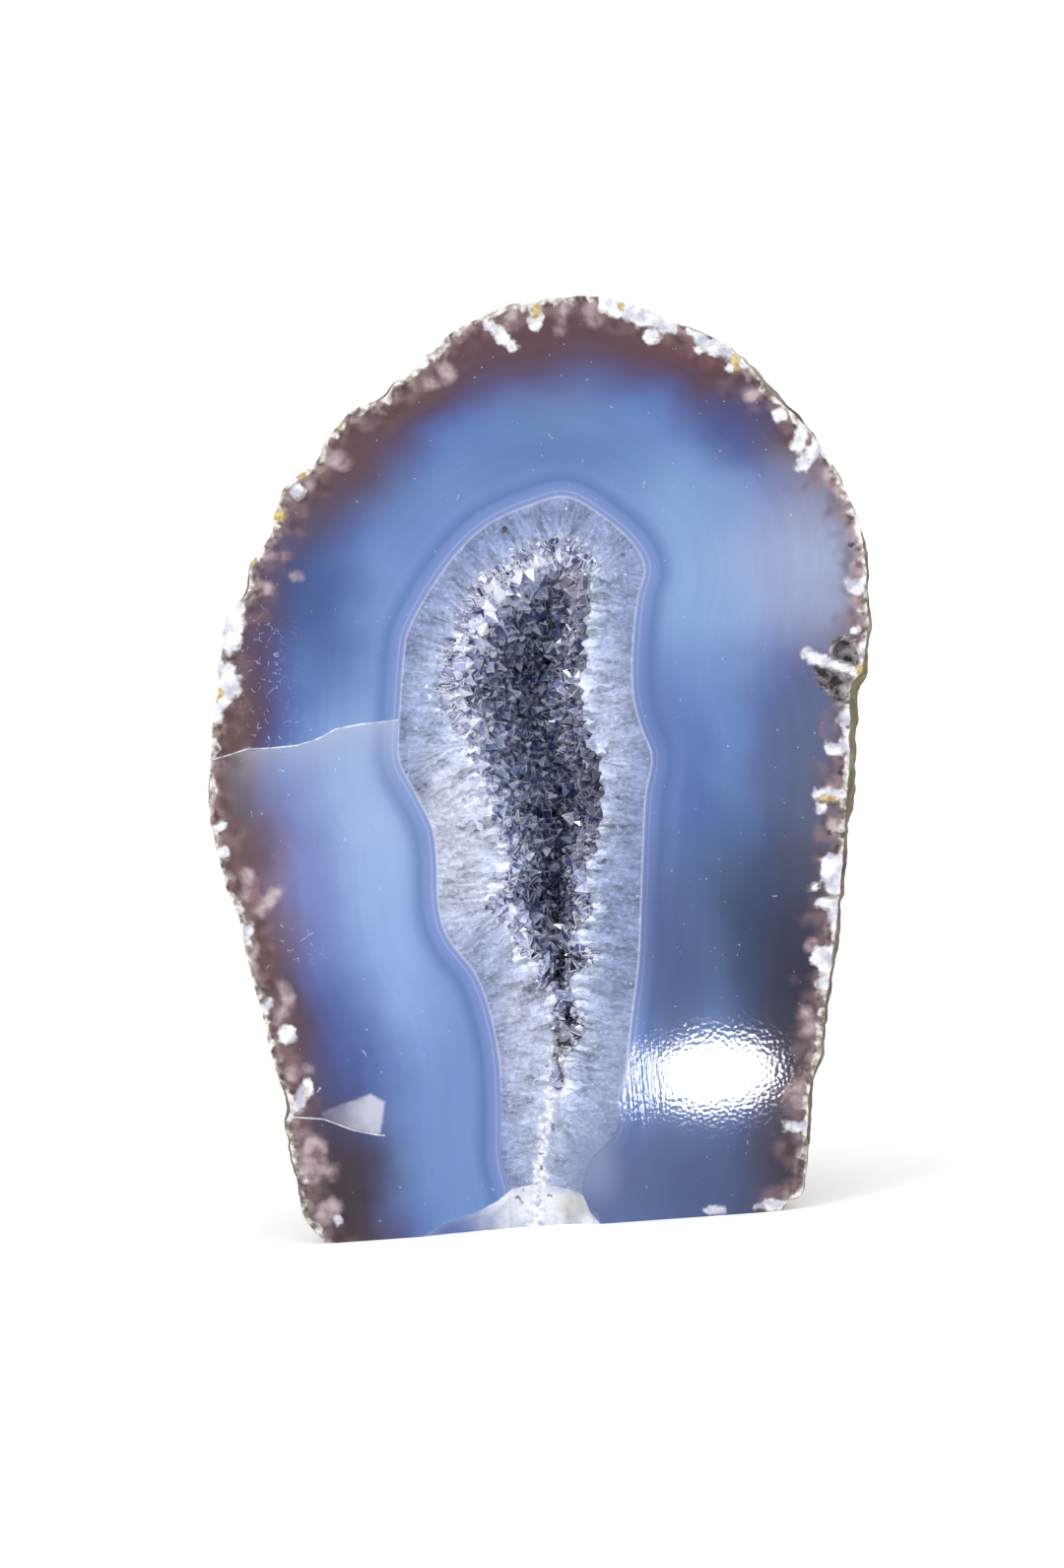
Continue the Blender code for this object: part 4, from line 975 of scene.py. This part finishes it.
def naturalRind():
    material, tree, point = startSurface("naturalRind")
    weathered = addNode(tree, "TexNoise", {"Vector": point, "Scale": 1 / 3.4, "Detail": 8.0,
                                           "Roughness": 0.65})
    colour = addNode(tree, "ValToRGB", {"Fac": weathered}, stops=rind["stone"])
    for size, seed, low, high, shade, strength in rind["stains"]:
        patches = addNode(tree, "TexNoise", {"Vector": point, "W": seed, "Scale": 1 / size, "Detail": 6.0,
                                             "Roughness": 0.6}, noise_dimensions="4D")
        mask = addNode(tree, "MapRange", {"Value": patches}, span=(low, high, 0.0, strength),
                       interpolation_type="SMOOTHSTEP")
        colour = addNode(tree, "MixRGB", {"Fac": mask, "Color1": colour, "Color2": shade})
    grain = addNode(tree, "TexNoise", {"Vector": point, "Scale": 1 / 1.1, "Detail": 6.0, "Roughness": 0.6})
    # Painted shade: the colour darkens where the fine grain is low, in the pits of the skin
    pitShade = addNode(tree, "MapRange", {"Value": grain}, span=(0.36, 0.56, 0.5, 1.06))
    colour = addNode(tree, "HueSaturation", {"Color": colour, "Value": pitShade})
    colour = paintPatches(tree, colour, point, rind["edge"], rind["edgeThick"])
    relief = addNode(tree, "Bump", {"Height": weathered, "Strength": 0.8, "Distance": 0.003})
    relief = addNode(tree, "Bump", {"Height": grain, "Strength": 0.8, "Distance": 0.001, "Normal": relief})
    finishSurface(tree, {"Base Color": colour, "Roughness": 0.85, "Normal": relief})
    return material


# The same agate where the saw left it: its bands show, but the cut is matt
def sawnAgate():
    material, tree, point = startSurface("sawnAgate")
    share = wayAcross(tree)[1]
    wander = swingNoise(tree, point, 6.0, 3.0, (0.3, 0.7, -0.06, 0.06))
    share = addNode(tree, "Math", {0: share, 1: wander}, operation="ADD")
    colour = addNode(tree, "ValToRGB", {"Fac": share}, stops=agate["sawnBands"])
    finishSurface(tree, {"Base Color": colour, "Roughness": 0.55})
    return material


# Milky quartz cut and polished with the agate: columns side by side, square to the wall they grew from
quartz = {
    "columnWidth": 0.58, "columnLength": 2.7,
    "tones": {0.0: "#8591b6", 0.3: "#8d99bd", 0.6: "#9ba7c8", 0.85: "#b3bedb", 1.0: "#c6d0e8"},
    "patches": [(-9.0, 50.0, 8.0, 22.0, "#d2d6e8", 0.85), (-2.0, 26.0, 6.0, 24.0, "#c2c8de", 0.7),
                (-6.0, 88.0, 9.0, 6.0, "#7a8bb2", 0.7), (-10.0, 68.0, 6.0, 10.0, "#a8b6d4", 0.6),
                (0.0, 12.0, 7.0, 18.0, "#b9c2db", 0.7), (10.0, 30.0, 4.0, 20.0, "#8590b2", 0.6),
                (11.5, 64.0, 5.0, 18.0, "#b6bcd6", 0.7), (3.0, 89.0, 13.0, 6.0, "#8492b8", 0.75),
                (12.0, 34.0, 4.0, 22.0, "#7f8bb0", 0.6)],
    "dullTips": [(11.5, 60.0, 8.0, 40.0, "#000000", 0.85)],
    "smooth": [(5.5, 7.5, 5.0, 7.5, "#8490b3", 1.0)],
}


def polishedQuartz():
    material, tree, point = startSurface("polishedQuartz")
    along = addNode(tree, "Attribute", output="Fac", attribute_name="along")
    fromQuartz, share = wayAcross(tree)
    sideways = addNode(tree, "Math", {0: along, 1: 1 / quartz["columnWidth"]}, operation="MULTIPLY")
    lengthwise = addNode(tree, "Math", {0: fromQuartz, 1: 1 / quartz["columnLength"]}, operation="MULTIPLY")
    columns = addNode(tree, "CombineXYZ", {"X": sideways, "Y": lengthwise})
    bend = addNode(tree, "TexNoise", {"Vector": point, "Scale": 1 / 1.2, "Detail": 4.0}, output="Color")
    bend = addNode(tree, "VectorMath", {0: bend, 3: 1.25}, operation="SCALE")
    columns = addNode(tree, "VectorMath", {0: columns, 1: bend}, operation="ADD")
    cells = addNode(tree, "TexVoronoi", {"Vector": columns, "Scale": 1.0}, output="Color",
                    voronoi_dimensions="2D")
    cellTone = addNode(tree, "SeparateXYZ", {"Vector": cells})
    streaks = addNode(tree, "TexNoise", {"Vector": columns, "Scale": 1.3, "Detail": 5.0, "Roughness": 0.7})
    grains = addNode(tree, "TexNoise", {"Vector": point, "Scale": 1 / 0.6, "Detail": 4.0, "Roughness": 0.7})
    clouds = addNode(tree, "TexNoise", {"Vector": point, "Scale": 1 / 3.5, "Detail": 2.0})
    colour = addNode(tree, "ValToRGB", {"Fac": share}, stops=quartz["tones"])
    colour = paintPatches(tree, colour, point, quartz["patches"])
    # Towards the cavity the columns end in points that differ more and more
    contrast = addNode(tree, "MapRange", {"Value": share}, span=(0.35, 1.0, 0.16, 1.0))
    swing = addNode(tree, "Math", {0: cellTone, 1: 0.5}, operation="SUBTRACT")
    swing = addNode(tree, "Math", {0: swing, 1: contrast}, operation="MULTIPLY")
    light = swing
    for pattern, low, high, reach in ((streaks, 0.32, 0.68, 0.34), (grains, 0.34, 0.66, 0.18),
                                      (clouds, 0.35, 0.65, 0.18)):
        part = addNode(tree, "MapRange", {"Value": pattern}, span=(low, high, -reach, reach))
        light = addNode(tree, "Math", {0: light, 1: part}, operation="ADD")
    light = addNode(tree, "Math", {0: light, 1: 0.95}, operation="ADD")
    striped = addNode(tree, "HueSaturation", {"Color": colour, "Value": light})
    tips = addNode(tree, "Math", {0: share, 1: light}, operation="MULTIPLY")
    tips = addNode(tree, "MapRange", {"Value": tips}, span=(0.98, 1.14, 0.0, 0.75))
    kept = paintPatches(tree, "#ffffff", point, quartz["dullTips"])
    tips = addNode(tree, "Math", {0: tips, 1: kept}, operation="MULTIPLY")
    colour = addNode(tree, "MixRGB", {"Fac": tips, "Color1": striped, "Color2": "#eef1f9"})
    # A few bright needles all over
    needles = addNode(tree, "MapRange", {"Value": grains}, span=(0.62, 0.7, 0.0, 0.8))
    colour = addNode(tree, "MixRGB", {"Fac": needles, "Color1": colour, "Color2": "#e9edf8"})
    colour = paintPatches(tree, colour, point, quartz["smooth"])
    high = addNode(tree, "SeparateXYZ", {"Vector": point}, output="Y")
    fade = addNode(tree, "MapRange", {"Value": high}, span=(12.0, 22.0, 0.0, 0.5))
    line = addNode(tree, "MapRange", {"Value": fromQuartz}, span=(0.1, 0.4, fade, 0.0),
                   interpolation_type="SMOOTHSTEP")
    colour = addNode(tree, "MixRGB", {"Fac": line, "Color1": colour, "Color2": "#c9d0ea"})
    colour = paintBroken(tree, colour, point)
    finishSurface(tree, {"Base Color": colour, "Roughness": 0.08, "IOR": 1.544})
    return material


# The quartz that the crystals stand on, seen through them: white by the left rim, dark deeper in, both partly
# painted light and shade
def druseBed():
    material, tree, point = startSurface("druseBed")
    white = addNode(tree, "Attribute", output="Fac", attribute_name="white")
    # Painted light and shade: bright and dark flecks stand in for light through the quartz around; the white
    # by the rim is partly white quartz, partly painted light
    grain = addNode(tree, "TexNoise", {"Vector": point, "Scale": 1 / 0.8, "Detail": 3.0})
    colour = addNode(tree, "ValToRGB", {"Fac": grain},
                     stops={0.38: "#1f2540", 0.5: "#5a6794", 0.56: "#8f9fcb", 0.62: "#f2f5ff"})
    colour = addNode(tree, "MixRGB", {"Fac": white, "Color1": colour, "Color2": "#e4e8f4"})
    finishSurface(tree, {"Base Color": colour, "Roughness": 0.4})
    return material


# Quartz points as they grew: clear, faintly smoky, with mirror-flat faces that catch the light one by one,
# and painted light and shade on each face and edge
crystal = {
    "tones": {0.0: "#22264b", 0.2: "#3d4473", 0.42: "#686fa2", 0.65: "#aab7e6", 0.85: "#eaf0ff",
              1.0: "#ffffff"},
    "clear": 0.15, "coat": 2.1, "edgeWidth": (0.04, 0.15), "shaded": [(9.5, 62.0, 4.5, 34.0, "#000000", 0.9)],
    # Painted light in blue on the left middle, a clear blue crystal, painted shade on the right wall, and
    # brownish crystals high and low
    "tintsLightAndShade": [(-1.5, 58.0, 6.0, 15.0, "#6d93c8", 0.35), (4.9, 73.7, 2.6, 2.6, "#7390ad", 0.5),
              (9.3, 60.0, 4.2, 36.0, "#3b2f3b", 0.75), (8.0, 81.0, 4.0, 4.0, "#6a5a5c", 0.6),
              (2.5, 23.0, 3.0, 7.5, "#5c534e", 0.85)],
}


def druseQuartz():
    material, tree, point = startSurface("druseQuartz")
    tone = addNode(tree, "Attribute", output="Fac", attribute_name="tone")
    within = swingNoise(tree, point, 0.5, 3.0, (0.3, 0.7, -0.09, 0.09))
    tone = addNode(tree, "Math", {0: tone, 1: within}, operation="ADD")
    colour = addNode(tree, "ValToRGB", {"Fac": tone}, stops=crystal["tones"])
    colour = paintPatches(tree, colour, point, crystal["tintsLightAndShade"])
    shaded = paintPatches(tree, "#ffffff", point, crystal["shaded"])
    # Painted highlights: the edges between the faces are painted near white, as if they caught the light
    apart = addNode(tree, "Attribute", output="Vector", attribute_name="fromEdges")
    apart = addNode(tree, "SeparateXYZ", {"Vector": apart}).node.outputs
    nearest = addNode(tree, "Math", {0: apart["X"], 1: apart["Y"]}, operation="MINIMUM")
    nearest = addNode(tree, "Math", {0: nearest, 1: apart["Z"]}, operation="MINIMUM")
    near, far = crystal["edgeWidth"]
    edges = addNode(tree, "MapRange", {"Value": nearest}, span=(near, far, 1.0, 0.0))
    patchy = swingNoise(tree, point, 1.1, 2.0, (0.4, 0.6, 0.0, 0.85))
    edges = addNode(tree, "Math", {0: edges, 1: patchy}, operation="MULTIPLY")
    edges = addNode(tree, "Math", {0: edges, 1: shaded}, operation="MULTIPLY")
    colour = addNode(tree, "MixRGB", {"Fac": edges, "Color1": colour, "Color2": "#f4f7ff"})
    finishSurface(tree, {"Base Color": colour, "Roughness": 0.05, "IOR": 1.544, "Coat Weight": shaded,
                         "Coat Roughness": 0.03, "Coat IOR": crystal["coat"], "Specular Tint": "#c4ceff",
                         "Specular IOR Level": 0.8, "Transmission Weight": crystal["clear"]})
    return material


print("stone: mesh")
stonePiece = makeStone()
setStoneFields(stonePiece.data)
print("crust: mesh")
crustPiece = makeCrust()
setCrustFields(crustPiece.data)
print("druse: crystals")
crystalPiece = makeCrystals()
print("materials")
agateSurface, rindSurface, sawnSurface = polishedAgate(), naturalRind(), sawnAgate()
quartzSurface, bedSurface, crystalSurface = polishedQuartz(), druseBed(), druseQuartz()
for piece, node, slot, surfaces in (
    (stonePiece, "agate_stone", "banded_agate", (agateSurface, rindSurface, rindSurface, sawnSurface)),
    (crustPiece, "quartz_crust", "quartz_crystal", (quartzSurface, bedSurface, quartzSurface)),
    (crystalPiece, "quartz_crust", "quartz_crystal", (crystalSurface,)),
):
    for surface in surfaces:
        piece.data.materials.append(surface)
    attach(piece, "root")
    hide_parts(node)
    print(piece.name, len(piece.data.vertices), len(piece.data.polygons))

# Camera square to the cut face, with the small roll at which the photographer held it
camera = {"distance": 0.9, "rollDegrees": 4.1, "aimAcross": 1.15, "aimUp": 56.3, "frameHeight": 198.9,
          "sensor": 36.0}
worldRight, worldUp, worldBack = Vector((1, 0, 0)), Vector((0, 0, 1)), Vector((0, 1, 0))
aimPoint = Vector(placed([(camera["aimAcross"], camera["aimUp"], 0.0)])[0])
faceUp = Vector((0.0, leanSine, leanCosine))
towardsEye = Vector((0.0, -leanCosine, leanSine))
roll = math.radians(camera["rollDegrees"])
eyeRight = math.cos(roll) * worldRight - math.sin(roll) * faceUp
eyeUp = math.sin(roll) * worldRight + math.cos(roll) * faceUp


def addToScene(name, data, spot, rightward, upward, backward):
    made = addObject(name, data)
    made.matrix_world = Matrix((rightward, upward, backward)).transposed().to_4x4()
    made.location = spot
    return made


lens = bpy.data.cameras.new("camera")
lens.sensor_width = camera["sensor"]
lens.lens = camera["sensor"] * camera["distance"] * 1000.0 / camera["frameHeight"]
eyeSpot = aimPoint + towardsEye * camera["distance"]
bpy.context.scene.camera = addToScene("camera", lens, eyeSpot, eyeRight, eyeUp, towardsEye)
bpy.context.scene.view_settings.view_transform = "Standard"

# White room and table, a large soft light from the upper left and a small one that mirrors in the polish
studio = {
    "room": 1.0, "floor": "#ffffff", "card": "#26262c", "glow": 0.2,
    "lights": [  # width, height, watts, place, in metres
        ("keyLight", 0.42, 0.42, 2.2, (-0.5, -0.6, 0.7)), ("sideLight", 0.12, 0.3, 0.7, (0.75, -0.45, 0.5)),
        ("lowLight", 0.2, 0.1, 0.5, (-0.6, -0.7, 0.12)),
    ],
    "sparkSize": (0.032, 0.0178), "sparkWatts": 0.05, "sparkRight": 0.0409, "sparkDown": 0.0767,
}
world = bpy.data.worlds.new("studio")
bpy.context.scene.world = world
world.use_nodes = True
world.node_tree.nodes["Background"].inputs["Color"].default_value = (1.0, 1.0, 1.0, 1.0)
world.node_tree.nodes["Background"].inputs["Strength"].default_value = studio["room"]


def addCard(name, width, height, spot, rightward, upward, shade, glow, seen):
    mesh = bpy.data.meshes.new(name)
    corners = [(-width / 2, -height / 2, 0), (width / 2, -height / 2, 0), (width / 2, height / 2, 0),
               (-width / 2, height / 2, 0)]
    mesh.from_pydata(corners, [], [(0, 1, 2, 3)])
    card = addToScene(name, mesh, spot, rightward, upward, rightward.cross(upward))
    material, tree = newTree(name)
    grain = addNode(tree, "TexNoise", {"Scale": 40.0, "Detail": 3.0})
    relief = addNode(tree, "Bump", {"Height": grain, "Strength": 0.05, "Distance": 0.001})
    finishSurface(tree, {"Base Color": shade, "Roughness": 0.9, "Normal": relief, "Emission Color": shade,
                         "Emission Strength": glow})
    mesh.materials.append(material)
    card.visible_camera = seen


addCard("table", 6.0, 6.0, (0, 0, 0), worldRight, worldBack, studio["floor"], studio["glow"], True)
addCard("darkCard", 1.6, 1.2, eyeSpot + towardsEye * 0.5, worldRight, faceUp, studio["card"], 0.0, False)


def addSoftbox(name, width, height, watts, spot, shape="RECTANGLE"):
    light = bpy.data.lights.new(name, "AREA")
    light.shape = shape
    light.size = width
    light.size_y = height
    light.energy = watts
    backward = (Vector(spot) - aimPoint).normalized()
    rightward = worldUp.cross(backward).normalized()
    made = addToScene(name, light, spot, rightward, backward.cross(rightward), backward)
    made.visible_camera = False


for light in studio["lights"]:
    addSoftbox(*light)
sparkSpot = eyeSpot + worldRight * studio["sparkRight"] - faceUp * studio["sparkDown"]
addSoftbox("sparkLight", *studio["sparkSize"], studio["sparkWatts"], sparkSpot, "ELLIPSE")
